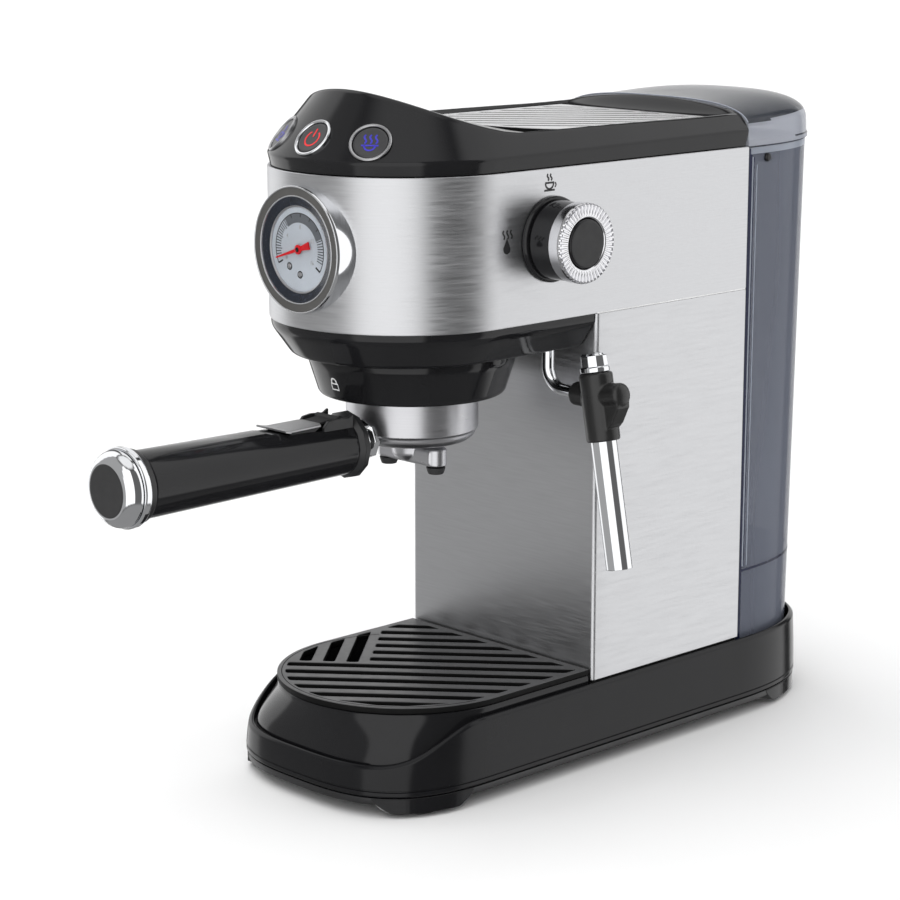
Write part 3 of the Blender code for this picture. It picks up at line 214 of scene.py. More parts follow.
def add_bump(mat, value, strength, distance):
    nodes = mat.node_tree.nodes
    bump = nodes.new("ShaderNodeBump")
    bump.inputs["Strength"].default_value = strength
    bump.inputs["Distance"].default_value = distance
    mat.node_tree.links.new(value, bump.inputs["Height"])
    mat.node_tree.links.new(bump.outputs["Normal"], nodes["Principled BSDF"].inputs["Normal"])


def scaled(rgb, factor):
    return tuple(channel * factor for channel in rgb)


def moulded(name, rgb, roughness, grain=900.0, depth=0.00002, specular=0.5):
    """Moulded plastic or rubber: a fine surface grain, and flow marks that shift its shade and gloss."""
    mat = new_material(name, rgb, roughness)
    mat.node_tree.nodes["Principled BSDF"].inputs["Specular IOR Level"].default_value = specular
    flow = noise(mat, 38.0, (1, 1, 0.5), 3.0)
    vary_colour(mat, flow, scaled(rgb, 0.88), scaled(rgb, 1.12))
    vary_roughness(mat, noise(mat, 160.0), roughness * 0.9, roughness * 1.12)
    add_bump(mat, noise(mat, grain, detail=2.0), 0.25, depth)
    return mat


def brushed(name, rgb, roughness, stretch, contrast=0.06, depth=0.00002):
    """Brushed metal: short hairlines along the grain in its shade, gloss and surface."""
    mat = new_material(name, rgb, roughness, 1.0)
    hairline = noise(mat, 1.0, stretch, 6.0)
    vary_colour(mat, hairline, scaled(rgb, 1 - contrast), scaled(rgb, 1 + contrast))
    vary_roughness(mat, hairline, roughness * 0.82, roughness * 1.18)
    add_bump(mat, hairline, 0.35, depth)
    return mat


def clear_plastic(name, rgb, alpha, roughness=0.05, specular=0.05):
    """Tinted transparent plastic, denser where the wall is seen along its face."""
    mat = new_material(name, rgb, roughness)
    nodes = mat.node_tree.nodes
    links = mat.node_tree.links
    shader = nodes["Principled BSDF"]
    shader.inputs["IOR"].default_value = 1.49
    shader.inputs["Specular IOR Level"].default_value = specular
    facing = nodes.new("ShaderNodeLayerWeight")
    facing.inputs["Blend"].default_value = 0.35
    density = nodes.new("ShaderNodeMapRange")
    density.inputs["To Min"].default_value = alpha
    density.inputs["To Max"].default_value = min(alpha + 0.40, 0.96)
    links.new(facing.outputs["Facing"], density.inputs["Value"])
    links.new(density.outputs["Result"], shader.inputs["Alpha"])
    streaks = noise(mat, 22.0, (1, 1, 0.25), 2.0)
    vary_colour(mat, streaks, scaled(rgb, 0.9), scaled(rgb, 1.1))
    vary_roughness(mat, noise(mat, 90.0), roughness * 0.7, roughness * 1.4)
    return mat


GLOSS_BLACK = moulded("gloss_black", (0.010, 0.010, 0.011), 0.10, depth=0.000004, specular=0.34)
BASE_BLACK = moulded("base_black", (0.009, 0.009, 0.010), 0.16, depth=0.000008, specular=0.24)
SATIN_BLACK = moulded("satin_black", (0.018, 0.018, 0.019), 0.36)
MATT_BLACK = moulded("matt_black", (0.026, 0.026, 0.027), 0.58, 1400.0, 0.00004)
GRATE_GREY = moulded("grate_grey", (0.070, 0.070, 0.072), 0.38, 1200.0, 0.00003)
SHADOW_BLACK = moulded("shadow_black", (0.004, 0.004, 0.004), 0.60, 1200.0, 0.00003, 0.15)
RUBBER = moulded("rubber", (0.022, 0.022, 0.022), 0.72, 1600.0, 0.00005, 0.3)
WAND_BLACK = moulded("wand_black", (0.014, 0.014, 0.014), 0.30, 1300.0, 0.00002)
INNER_GREY = moulded("inner_grey", (0.20, 0.20, 0.21), 0.50)
SOCKET_GREY = moulded("socket_grey", (0.35, 0.36, 0.38), 0.45)
SILICONE = moulded("silicone", (0.70, 0.72, 0.72), 0.52)
SEAL_RUBBER = moulded("seal_rubber", (0.03, 0.03, 0.03), 0.68)
PUMP_BLUE = moulded("pump_blue", (0.10, 0.16, 0.30), 0.46)
BOARD_GREEN = moulded("board_green", (0.03, 0.20, 0.09), 0.44)
DIAL_FACE = moulded("dial_face", (0.46, 0.50, 0.55), 0.45, 700.0)
DIAL_BAND = moulded("dial_band", (0.115, 0.125, 0.140), 0.50, 700.0)
PRINT_BLACK = moulded("print_black", (0.015, 0.015, 0.016), 0.45, 2000.0)
PRINT_GREY = moulded("print_grey", (0.42, 0.42, 0.43), 0.45, 2000.0)
ICON_RED = moulded("icon_red", (0.75, 0.015, 0.02), 0.35, 2000.0)
ICON_BLUE = moulded("icon_blue", (0.035, 0.028, 0.42), 0.35, 2000.0)
MARK_WHITE = moulded("mark_white", (0.78, 0.78, 0.78), 0.45, 2000.0)
RING_GREY = moulded("ring_grey", (0.085, 0.083, 0.080), 0.50, 1500.0, specular=0.2)
SLOPE_BLACK = moulded("slope_black", (0.014, 0.018, 0.028), 0.12, 1500.0, 0.000004)
# Pale grey for the seam strips: a painted highlight where the sheets' edges catch the light.
PAINTED_SEAM_HIGHLIGHT = moulded("painted_seam_highlight", (0.80, 0.80, 0.80), 0.40, 1500.0)
NEEDLE_RED = moulded("needle_red", (0.58, 0.008, 0.014), 0.40, 1500.0, specular=0.2)
BUTTON_GREY = moulded("button_grey", (0.035, 0.035, 0.037), 0.30, 1500.0)
EDGE_BLUE = moulded("edge_blue", (0.005, 0.008, 0.034), 0.25, 500.0, specular=0.2)

HEAD_STEEL = brushed("head_steel", (0.66, 0.665, 0.68), 0.37, (60, 60, 1100), 0.07, 0.000022)
SIDE_STEEL = brushed("side_steel", (0.66, 0.665, 0.68), 0.38, (55, 55, 1000), 0.045, 0.000006)
PLATE_STEEL = brushed("plate_steel", (0.74, 0.74, 0.75), 0.30, (60, 60, 900), 0.03, 0.000004)
SATIN_STEEL = brushed("satin_steel", (0.62, 0.62, 0.64), 0.33, (60, 60, 1400), 0.04, 0.000006)
CLIP_STEEL = brushed("clip_steel", (0.52, 0.52, 0.53), 0.42, (900, 90, 90), 0.04, 0.000006)
KNURL_STEEL = brushed("knurl_steel", (0.78, 0.78, 0.80), 0.14, (90, 90, 90), 0.05, 0.000004)
RING_STEEL = brushed("ring_steel", (0.50, 0.50, 0.51), 0.30, (90, 90, 90), 0.05, 0.000004)
CHROME = brushed("chrome", (0.86, 0.87, 0.89), 0.045, (90, 90, 90), 0.015, 0.000001)
CAST_ALUMINIUM = brushed("cast_aluminium", (0.55, 0.55, 0.56), 0.45, (500, 500, 500), 0.10, 0.00008)
BRASS = brushed("brass", (0.72, 0.55, 0.26), 0.32, (120, 900, 120), 0.06)

TANK_CLEAR = clear_plastic("tank_clear", (0.150, 0.163, 0.205), 0.52)
LID_CLEAR = clear_plastic("lid_clear", (0.44, 0.46, 0.52), 0.45)
LID_SMOKE = clear_plastic("lid_smoke", (0.040, 0.045, 0.056), 0.62, 0.10, 0.12)
BAIL_CLEAR = clear_plastic("bail_clear", (0.50, 0.54, 0.62), 0.40)
RIB_LIGHT = moulded("rib_light", (0.30, 0.32, 0.38), 0.25, 700.0)
LENS_CLEAR = new_material("lens_clear", (0.02, 0.02, 0.02), 0.02)
vary_roughness(LENS_CLEAR, noise(LENS_CLEAR, 60.0), 0.015, 0.03)
LENS_CLEAR.node_tree.nodes["Principled BSDF"].inputs["Alpha"].default_value = 0.03
LENS_CLEAR.node_tree.nodes["Principled BSDF"].inputs["Specular IOR Level"].default_value = 0.15


# ---------------------------------------------------------------- shaping helpers
def rounded(points, radius, closed=True, steps=4):
    """An outline with its corners turned into arcs, each held by a point on either side."""
    corners = [Vector(p) for p in points]
    count = len(corners)
    radii = radius if isinstance(radius, (list, tuple)) else [radius] * count
    result = []
    for i, corner in enumerate(corners):
        ends = not closed and i in (0, count - 1)
        if ends or radii[i] == 0:
            result.append(corner)
            continue
        back = corners[i - 1] - corner
        ahead = corners[(i + 1) % count] - corner
        start = back.normalized() * min(radii[i], 0.42 * back.length)
        end = ahead.normalized() * min(radii[i], 0.42 * ahead.length)
        result.append(corner + start * 1.15)
        for k in range(steps + 1):
            t = k / steps
            result.append(corner + (1 - t) ** 2 * start + t ** 2 * end)
        result.append(corner + end * 1.15)
    return result


def loft(rings, closed=False):
    """Quads between rings of equal length; closed joins the last ring to the first, else both are capped."""
    size = len(rings[0])
    verts = [p for ring in rings for p in ring]
    faces = []
    last = len(rings) if closed else len(rings) - 1
    for i in range(last):
        a = i * size
        b = ((i + 1) % len(rings)) * size
        for j in range(size):
            k = (j + 1) % size
            faces.append((a + j, a + k, b + k, b + j))
    if not closed:
        faces.append(tuple(range(size)))
        faces.append(tuple((len(rings) - 1) * size + j for j in range(size)))
    return verts, faces


def turn_profile(profile, segments, ring):
    """Points and faces of a solid turned from (radius, height) points."""
    verts = []
    rows = []
    for radius, height in profile:
        if radius < 1e-9:
            rows.append([len(verts)])
            verts.append((0, 0, height))
            continue
        rows.append([len(verts) + j for j in range(segments)])
        for j in range(segments):
            turn = 2 * math.pi * j / segments
            verts.append((radius * math.cos(turn), radius * math.sin(turn), height))
    faces = []
    pairs = list(zip(rows, rows[1:]))
    if ring:
        pairs.append((rows[-1], rows[0]))
    for low, high in pairs:
        for j in range(segments):
            k = (j + 1) % segments
            if len(low) == 1 and len(high) == 1:
                continue
            if len(low) == 1:
                faces.append((low[0], high[k], high[j]))
            elif len(high) == 1:
                faces.append((low[j], low[k], high[0]))
            else:
                faces.append((low[j], low[k], high[k], high[j]))
    if not ring and len(rows[0]) > 1:
        faces.append(tuple(rows[0]))
    if not ring and len(rows[-1]) > 1:
        faces.append(tuple(rows[-1]))
    return verts, faces


def linked(name, data, centre=(0, 0, 0)):
    """A new object in the scene, at a place in the design frame."""
    obj = bpy.data.objects.new(name, data)
    bpy.context.scene.collection.objects.link(obj)
    obj.location = ORIGIN + Vector(centre)
    return obj


def make_object(name, verts, faces, mat, centre=(0, 0, 0), axis=(0, 0, 1), sharp=32):
    """A mesh object in the design frame, its faces turned outwards, its local +Z laid along axis."""
    mesh = bpy.data.meshes.new(name)
    mesh.from_pydata([tuple(v) for v in verts], [], faces)
    bm = bmesh.new()
    bm.from_mesh(mesh)
    bmesh.ops.remove_doubles(bm, verts=bm.verts, dist=1e-7)
    bmesh.ops.recalc_face_normals(bm, faces=bm.faces)
    bm.to_mesh(mesh)
    bm.free()
    mesh.materials.append(mat)
    mesh.shade_smooth()
    mesh.set_sharp_from_angle(angle=math.radians(sharp))
    obj = linked(name, mesh, centre)
    obj.rotation_mode = 'QUATERNION'
    obj.rotation_quaternion = Vector((0, 0, 1)).rotation_difference(Vector(axis).normalized())
    return obj


def plain_turned(name, profile, segments, mat, centre, axis=(0, 0, 1)):
    """A turned solid with its profile's corners left as they are."""
    return make_object(name, *turn_profile(profile, segments, False), mat, centre, axis)


def round_tool(name, radius, length, segments, mat, centre, axis=(0, 0, 1)):
    """A round tool that cuts a hole."""
    return plain_turned(name, [(radius, 0), (radius, length)], segments, mat, centre, axis)


def turned(name, profile, mat, centre=(0, 0, 0), axis=(0, 0, 1), radius=0.0004, segments=96, ring=False):
    """A turned piece with its profile's corners rounded."""
    smooth = rounded(profile, radius, closed=ring)
    return make_object(name, *turn_profile(smooth, segments, ring), mat, centre, axis)


def lofted(name, rings, mat, closed=False, sharp=32):
    return make_object(name, *loft(rings, closed), mat, sharp=sharp)


def slab(name, outline, places, mat):
    """A plate with one (y, z) outline, between the given places along X."""
    return lofted(name, [[(x, y, z) for y, z in outline] for x in places], mat)


def bevelled(obj, width=0.0004, segments=3):
    """Round the sharp edges of a piece with flat faces."""
    modifier = obj.modifiers.new("edges", 'BEVEL')
    modifier.width = width
    modifier.segments = segments
    modifier.limit_method = 'ANGLE'
    modifier.angle_limit = math.radians(32)
    modifier.harden_normals = True
    return obj


def evaluated_mesh(obj):
    """The mesh that an object's modifiers or curve settings make of it."""
    bpy.context.view_layer.update()
    graph = bpy.context.evaluated_depsgraph_get()
    return bpy.data.meshes.new_from_object(obj.evaluated_get(graph))


def baked(obj):
    """The piece with its modifiers worked into its mesh."""
    mesh = evaluated_mesh(obj)
    obj.modifiers.clear()
    obj.data = mesh
    return obj


def welded(obj, distance=0.000005):
    """Merge the points that a cut leaves within a hair of each other along its edges."""
    mesh = bmesh.new()
    mesh.from_mesh(obj.data)
    bmesh.ops.remove_doubles(mesh, verts=mesh.verts, dist=distance)
    bmesh.ops.dissolve_degenerate(mesh, dist=distance, edges=mesh.edges)
    mesh.to_mesh(obj.data)
    mesh.free()
    return obj


def carve(obj, *tools, sharp=32, operation='DIFFERENCE'):
    """Cut the tools out of a piece, or join them to it, and drop them."""
    for tool in tools:
        modifier = obj.modifiers.new(tool.name, 'BOOLEAN')
        modifier.operation = operation
        modifier.solver = 'EXACT'
        modifier.object = tool
    baked(obj)
    welded(obj)
    obj.data.shade_smooth()
    obj.data.set_sharp_from_angle(angle=math.radians(sharp))
    for tool in tools:
        bpy.data.objects.remove(tool)
    return obj


def blended(obj, tools, voxel, smoothing=6):
    """Join the tools to a piece and soften the joins, as one moulding."""
    carve(obj, *tools, operation='UNION')
    remesh = obj.modifiers.new("moulding", 'REMESH')
    remesh.mode = 'VOXEL'
    remesh.voxel_size = voxel
    remesh.use_smooth_shade = True
    smooth = obj.modifiers.new("soften", 'SMOOTH')
    smooth.factor = 0.5
    smooth.iterations = smoothing
    baked(obj)
    obj.data.shade_smooth()
    return obj


def outline_curve(name, outer, holes, low, high, edge, mat, wall_shade_mat):
    """A flat plate with holes, every edge of it rounded, its faces not turned upwards in a material of their
    own: painted shade.
    """
    curve = bpy.data.curves.new(name, 'CURVE')
    curve.dimensions = '2D'
    curve.fill_mode = 'BOTH'
    curve.extrude = (high - low) / 2 - edge
    curve.bevel_depth = edge
    curve.bevel_resolution = 2
    curve.offset = -edge
    for outline in (outer, *holes):
        spline = curve.splines.new('POLY')
        spline.points.add(len(outline) - 1)
        for target, point in zip(spline.points, outline):
            target.co = (point[0], point[1], 0.0, 1.0)
        spline.use_cyclic_u = True
    curve_object = linked(name, curve)
    mesh = evaluated_mesh(curve_object)
    bpy.data.objects.remove(curve_object)
    mesh.materials.clear()
    mesh.materials.append(mat)
    mesh.materials.append(wall_shade_mat)
    # Faces not turned upwards, the slot walls among them, take the second material: painted shade inside the
    # slots.
    for polygon in mesh.polygons:
        polygon.material_index = 0 if polygon.normal.z > 0.6 else 1
    mesh.shade_smooth()
    mesh.set_sharp_from_angle(angle=math.radians(32))
    return linked(name, mesh, (0, 0, (low + high) / 2))


def tube(name, points, radius, mat, resolution=8):
    """A round bar along a list of points, its ends closed."""
    curve = bpy.data.curves.new(name, 'CURVE')
    curve.dimensions = '3D'
    curve.bevel_depth = radius
    curve.bevel_resolution = resolution
    curve.use_fill_caps = True
    spline = curve.splines.new('POLY')
    spline.points.add(len(points) - 1)
    for target, point in zip(spline.points, points):
        target.co = (*point, 1.0)
    curve.materials.append(mat)
    return linked(name, curve)


def place(obj, body, slot, *nodes):
    """Hand a finished piece to the frame: the body it rides on and the nodes it stands for, which it hides;
    slot is not used.
    """
    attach(obj, body)
    if nodes:
        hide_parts(*nodes)
    return obj


def ribbon(points, width, closed=False):
    """Left and right edges of a drawn line, mitred at its corners."""
    flat = [Vector(p) for p in points]
    count = len(flat)
    left = []
    right = []
    for i, point in enumerate(flat):
        before = flat[i - 1] if closed or i > 0 else point
        after = flat[(i + 1) % count] if closed or i < count - 1 else point
        along = (after - before).normalized()
        side = Vector((-along.y, along.x)) * (width / 2)
        left.append(point + side)
        right.append(point - side)
    return left, right


def print_and_highlight(name, lines, fills, to_surface, mat, lift=0.00006):
    """A print, an inlay or a painted highlight on a surface: drawn lines (points, width, closed) and filled
    convex outlines.
    """
    verts = []
    faces = []

    def patch(outline):
        start = len(verts)
        count = len(outline)
        for height in (-0.0003, lift):
            verts.extend(to_surface(p[0], p[1], height) for p in outline)
        faces.append(tuple(start + count + j for j in range(count)))
        faces.append(tuple(start + j for j in reversed(range(count))))
        for j in range(count):
            k = (j + 1) % count
            faces.append((start + j, start + k, start + count + k, start + count + j))

    for points, width, closed in lines:
        left, right = ribbon(points, width, closed)
        count = len(points)
        for i in range(count if closed else count - 1):
            k = (i + 1) % count
            patch([left[i], right[i], right[k], left[k]])
    for outline in fills:
        patch(outline)
    mesh = bpy.data.meshes.new(name)
    mesh.from_pydata([tuple(v) for v in verts], [], faces)
    mesh.materials.append(mat)
    return linked(name, mesh)


def strokes(width, *drawn):
    """Open drawn lines of one width."""
    return [(points, width, False) for points in drawn]


def arc(cx, cy, radius, start, end, steps=16):
    """Points on an arc, angles in degrees anticlockwise from the right."""
    points = []
    for i in range(steps + 1):
        turn = math.radians(start + (end - start) * i / steps)
        points.append((cx + radius * math.cos(turn), cy + radius * math.sin(turn)))
    return points


def wave(x, low, high, swing, steps=10):
    """A wisp of steam: an upright line with one soft bend each way."""
    return [(x + swing * math.sin(2 * math.pi * i / steps), low + (high - low) * i / steps)
            for i in range(steps + 1)]


def on_plane(origin, right, up):
    """Mapping of drawn coordinates to a plane."""
    out = right.cross(up).normalized()
    return lambda u, v, height: origin + right * u + up * v + out * height


# ---------------------------------------------------------------- plan outlines
def superellipse(a, b, power, turn):
    """Point at angle turn on a superellipse, 0 on +X and a quarter turn on -Y."""
    c = math.cos(turn)
    s = math.sin(turn)
    x = a * math.copysign(abs(c) ** (2 / power), c)
    return x, -b * math.copysign(abs(s) ** (2 / power), s)


def base_outline(inset, steps=72):
    """The base's plan: square-round front, straight sides, rounder rear."""
    points = []
    for i in range(steps + 1):
        x, y = superellipse(BASE_HALF_W - inset, BASE_FRONT_DEPTH - inset, 3.0, math.pi * i / steps)
        points.append((x, HEAD_Y + y))
    for i in range(1, 12):
        points.append((-(BASE_HALF_W - inset), HEAD_Y + (BASE_REAR_Y - HEAD_Y) * i / 12))
    for i in range(steps + 1):
        x, y = superellipse(BASE_HALF_W - inset, BASE_REAR_DEPTH - inset, 2.5, math.pi * (1 + i / steps))
        points.append((x, BASE_REAR_Y + y))
    for i in range(1, 12):
        points.append((BASE_HALF_W - inset, BASE_REAR_Y + (HEAD_Y - BASE_REAR_Y) * i / 12))
    return points


def head_outline(inset, rear_y, steps=96, side_steps=10):
    """Round front about HEAD_Y with straight sides back to rear_y."""
    r = BODY_HALF_W - inset
    points = [(r, rear_y + (HEAD_Y - rear_y) * i / side_steps) for i in range(side_steps)]
    for i in range(steps + 1):
        turn = math.pi * i / steps
        points.append((r * math.cos(turn), HEAD_Y - r * math.sin(turn)))
    points += [(-r, HEAD_Y + (rear_y - HEAD_Y) * i / side_steps) for i in range(1, side_steps + 1)]
    return points


def front_outline(half_w, depth, power, rear_y, steps=96):
    """Drip-tray plan: superellipse front about HEAD_Y, straight sides and a flat rear."""
    points = [(half_w, rear_y)]
    for i in range(steps + 1):
        x, y = superellipse(half_w, depth, power, math.pi * i / steps)
        points.append((x, HEAD_Y + y))
    points.append((-half_w, rear_y))
    return points


def tank_outline(inset, height, steps=64):
    """The tank's plan at a height: flat front, straight sides and a round rear that leans out."""
    share = (height - TANK_LOW_Z) / (TANK_TOP_Z - TANK_LOW_Z)
    half_w = 0.0604 + 0.0008 * share - inset
    depth = 0.0800 + 0.0068 * share - inset
    points = [(-half_w + 0.0020, TANK_FRONT_Y + inset), (half_w - 0.0020, TANK_FRONT_Y + inset)]
    for i in range(steps + 1):
        x, y = superellipse(half_w, depth, 2.5, -math.pi * i / steps)
        points.append((x, max(BASE_REAR_Y + y, TANK_FRONT_Y + inset + 0.0020)))
    return points


def at_height(outline, z):
    return [(x, y, z) for x, y in outline]


def smoothstep(t):
    t = min(max(t, 0.0), 1.0)
    return t * t * (3 - 2 * t)


# ---------------------------------------------------------------- base and tray
def lip_height(y):
    """Height of the base's upper edge: level along the sides, swooping down round the front."""
    return LIP_SIDE_Z + (LIP_FRONT_Z - LIP_SIDE_Z) * smoothstep((-0.078 - y) / 0.050)


def build_base():
    groove_z = BASE_LOW_Z + 0.0030
    groove = 0.0005
    bevel = 0.0014
    lean = 0.0010
    insets = [0.0030, 0.0010, 0.0, 0.0, groove, groove, 0.0, 0.4 * lean, lean, lean + bevel,
              lean + BASE_WALL, lean + BASE_WALL]
    outlines = {inset: base_outline(inset) for inset in set(insets)}
    sections = []
    for i in range(len(outlines[0.0])):
        points = [outlines[inset][i] for inset in insets]
        lip = lip_height(outlines[0.0][i][1])
        heights = [BASE_LOW_Z, BASE_LOW_Z, BASE_LOW_Z + 0.0008,
                   groove_z - 0.0003, groove_z, groove_z + 0.0005, groove_z + 0.0008,
                   groove_z + 0.5 * (lip - groove_z), lip - bevel, lip, lip, BASE_FLOOR_Z - 0.0010]
        sections.append(rounded([(*p, z) for p, z in zip(points, heights)],
                                [0, 0, 0.0004, 0, 0, 0, 0, 0.004, 0.0006, 0.0005, 0.0005, 0], steps=3))
    shell = lofted("base_wall_skin", sections, BASE_BLACK, closed=True)
    place(shell, "body", "base_plastic", "base_shell")
    floor = lofted("base_floor", [at_height(base_outline(0.0032), z)
                                  for z in (BASE_FLOOR_Z - 0.0022, BASE_FLOOR_Z)], SATIN_BLACK)
    place(bevelled(floor), "body", "base_plastic")

    clearance = TANK_WALL + 0.0012
    rings = []
    for inset, z in ((clearance, BASE_FLOOR_Z - 0.0010), (clearance, PLINTH_Z - 0.0012),
                     (clearance + 0.0003, PLINTH_Z - 0.0004), (clearance + 0.0012, PLINTH_Z),
                     (clearance + 0.0030, PLINTH_Z)):
        rings.append(at_height(tank_outline(inset, TANK_LOW_Z), z))
    place(lofted("tank_plinth", rings, SATIN_BLACK), "body", "base_plastic")

    rings = [at_height(base_outline(0.0006 + inset), z) for inset, z in
             ((0.0010, 0.0062), (0.0003, 0.0064), (0.0, 0.0070), (0.0, BASE_LOW_Z - GAP))]
    place(lofted("base_plate_skin", rings, SATIN_BLACK), "body", "base_plastic", "base_plate")
    for sign, side in SIDES:
        x = sign * FOOT_X
        for end, y in zip(("front", "rear"), FOOT_Y):
            boss = turned(f"foot_boss_{end}_{side}", [(0, 0.0024), (0.0190, 0.0024), (0.0236, 0.0064),
                                                      (0.0254, 0.0092), (0, 0.0092)], BASE_BLACK, (x, y, 0),
                          radius=[0, 0.0010, 0.0040, 0.0006, 0])
            limits = lofted("boss_limits", [at_height(base_outline(0.0004), z) for z in (0.0010, 0.0100)],
                            BASE_BLACK)
            carve(boss, limits, operation='INTERSECT')
            place(bevelled(boss, 0.0005), "body", "base_plastic")
            pad = turned(f"foot_pad_{end}_{side}", [(0, 0), (0.0050, 0), (0.0052, 0.0004), (0.0056, 0.0004),
                                                    (0.0058, 0), (0.0073, 0), (0.0073, 0.0021), (0, 0.0021)],
                         RUBBER, (x, y, 0), radius=0.00015)
            place(pad, "body", "foot_rubber", f"foot_{end}_{side}")
    gland = turned("cord_gland_sleeve", [(0.0026, 0), (0.0048, 0), (0.0048, 0.0042), (0.0064, 0.0042),
                                         (0.0064, 0.0052), (0.0058, 0.0066), (0.0026, 0.0066)],
                   RUBBER, (0, 0.1868, 0.0150), (0, 1, 0), ring=True)
    place(gland, "body", "foot_rubber", "cord_gland")


def slot_span(centre, direction, offset, width, stops, inside):
    """A slot whose long edges each run as far as inside allows between the stops, its corners rounded."""
    ux, uy = direction
    vx, vy = uy, -ux
    ends = []
    for across in (offset - width / 2, offset + width / 2):
        reached = [along for along in (stops[0] + (stops[1] - stops[0]) * i / 800 for i in range(801))
                   if inside(centre[0] + ux * along + vx * across, centre[1] + uy * along + vy * across)]
        if len(reached) < 24:
            return []
        ends.append((reached[0], reached[-1], across))
    (a, b, low), (c, d, high) = ends
    corners = [(centre[0] + ux * along + vx * across, centre[1] + uy * along + vy * across)
               for along, across in ((a, low), (b, low), (d, high), (c, high))]
    return rounded(corners, 0.0016)


def on_grate(x, y):
    """Whether a plan point lies inside the grate's solid rim."""
    reach = GRATE_R - GRATE_MARGIN
    if abs(x) > reach or y > TRAY_REAR - GRATE_MARGIN:
        return False
    return y > HEAD_Y or math.hypot(x, y - HEAD_Y) < reach


def grate_slots():
    """Long slots across the grate, and short ones square to them in its rear left corner."""
    direction = (math.cos(RIB_TURN), math.sin(RIB_TURN))
    square = (-direction[1], direction[0])
    centre = (0.0, HEAD_Y)
    reach = 0.085
    slots = []
    for k in range(12):
        stops = (-reach if k < 6 else -0.0190, reach)
        slots.append(slot_span(centre, direction, 0.0548 - k * GRATE_PITCH, GRATE_SLOT_W, stops, on_grate))
    for k in range(3):
        offset = -0.0272 - k * GRATE_PITCH
        slots.append(slot_span(centre, square, offset, GRATE_SLOT_W, (0.0085, reach), on_grate))
    return [slot for slot in slots if slot]


def build_tray():
    wall = 0.0020
    top = GRATE_Z - GAP

    def ring(inset, z, blend):
        """blend 0 is the round rim of the grate, 1 the squarer outline low in the base."""
        half_w = GRATE_R - 0.0003 + blend * 0.0007 - inset
        depth = GRATE_R - 0.0003 + blend * 0.0044 - inset
        return at_height(front_outline(half_w, depth, 2.0 + blend, TRAY_REAR - inset), z)

    outer = []
    for i in range(13):
        share = i / 12
        outer.append(ring(0.0, 0.0240 + (top - 0.0008 - 0.0240) * share, 1.0 - smoothstep(share) ** 0.8))
    inner = []
    for i in range(12, -1, -1):
        share = i / 12
        inner.append(ring(wall, 0.0262 + (top - 0.0008 - 0.0262) * share, 1.0 - smoothstep(share) ** 0.8))
    rings = [ring(0.0040, 0.0228, 1.0), ring(0.0010, 0.0228, 1.0), ring(0.0003, 0.0231, 1.0), *outer,
             ring(0.0003, top - 0.0002, 0.0), ring(0.0006, top, 0.0), ring(wall - 0.0006, top, 0.0),
             ring(wall - 0.0002, top - 0.0003, 0.0), *inner, ring(wall + 0.0012, 0.0250, 1.0),
             ring(wall + 0.0035, 0.0250, 1.0)]
    place(lofted("drip_tray_shell", rings, GLOSS_BLACK), "tray", "black_plastic", "drip_tray")

    # The grate's slot walls are in SHADOW_BLACK: painted shade inside the slots.
    grate = outline_curve("drip_grate_ribs", front_outline(GRATE_R, GRATE_R, 2.0, TRAY_REAR), grate_slots(),
                          GRATE_Z, GRATE_Z + GRATE_T, 0.0005, GRATE_GREY, SHADOW_BLACK)
    place(grate, "grate", "grate_plastic", "drip_grate")
    top_face = on_plane(Vector((0, HEAD_Y, GRATE_Z + GRATE_T)), Vector((1, 0, 0)), Vector((0, 1, 0)))
    rim_line = print_and_highlight("drip_grate_rim_line", strokes(0.0005, arc(0, 0, GRATE_R - 0.0022, 150, 350, 60)), [],
                       top_face, SHADOW_BLACK, 0.00004)
    place(rim_line, "grate", "grate_plastic")


# ---------------------------------------------------------------- column and head
def bent_sheet(radius, half_w, steps=10):
    """Plan path of a sheet folded round the column's two front corners."""
    path = [(half_w, BODY_REAR_Y + (CORNER_R - BODY_REAR_Y) * i / 12) for i in range(12)]
    for i in range(steps + 1):
        turn = math.pi / 2 * i / steps
        path.append((BODY_HALF_W - CORNER_R + radius * math.cos(turn), CORNER_R - radius * math.sin(turn)))
    path += [(0.061 - 0.0051 * i, CORNER_R - radius) for i in range(1, 12)]
    return path + [(-x, y) for x, y in reversed(path)]


def sheet_section(outer, inner, low, high, edge, rows=10):
    """Cross-section of an upright sheet, its edges rounded, with rows of points up its faces."""
    points = [(*outer, low + (high - low) * i / rows) for i in range(rows + 1)]
    points += [(*inner, high - (high - low) * i / rows) for i in range(rows + 1)]
    radii = [edge if i in (0, rows, rows + 1, 2 * rows + 1) else 0 for i in range(len(points))]
    return rounded(points, radii, steps=3)


def build_column():
    outer = bent_sheet(CORNER_R, BODY_HALF_W)
    inner = bent_sheet(CORNER_R - SHEET, BODY_HALF_W - SHEET)
    rings = [sheet_section(o, n, STEEL_Z, SEAM_Z - GAP, 0.0003, 4) for o, n in zip(outer, inner)]
    place(lofted("column_sheet", rings, SIDE_STEEL), "body", "brushed_steel", "column_cover")


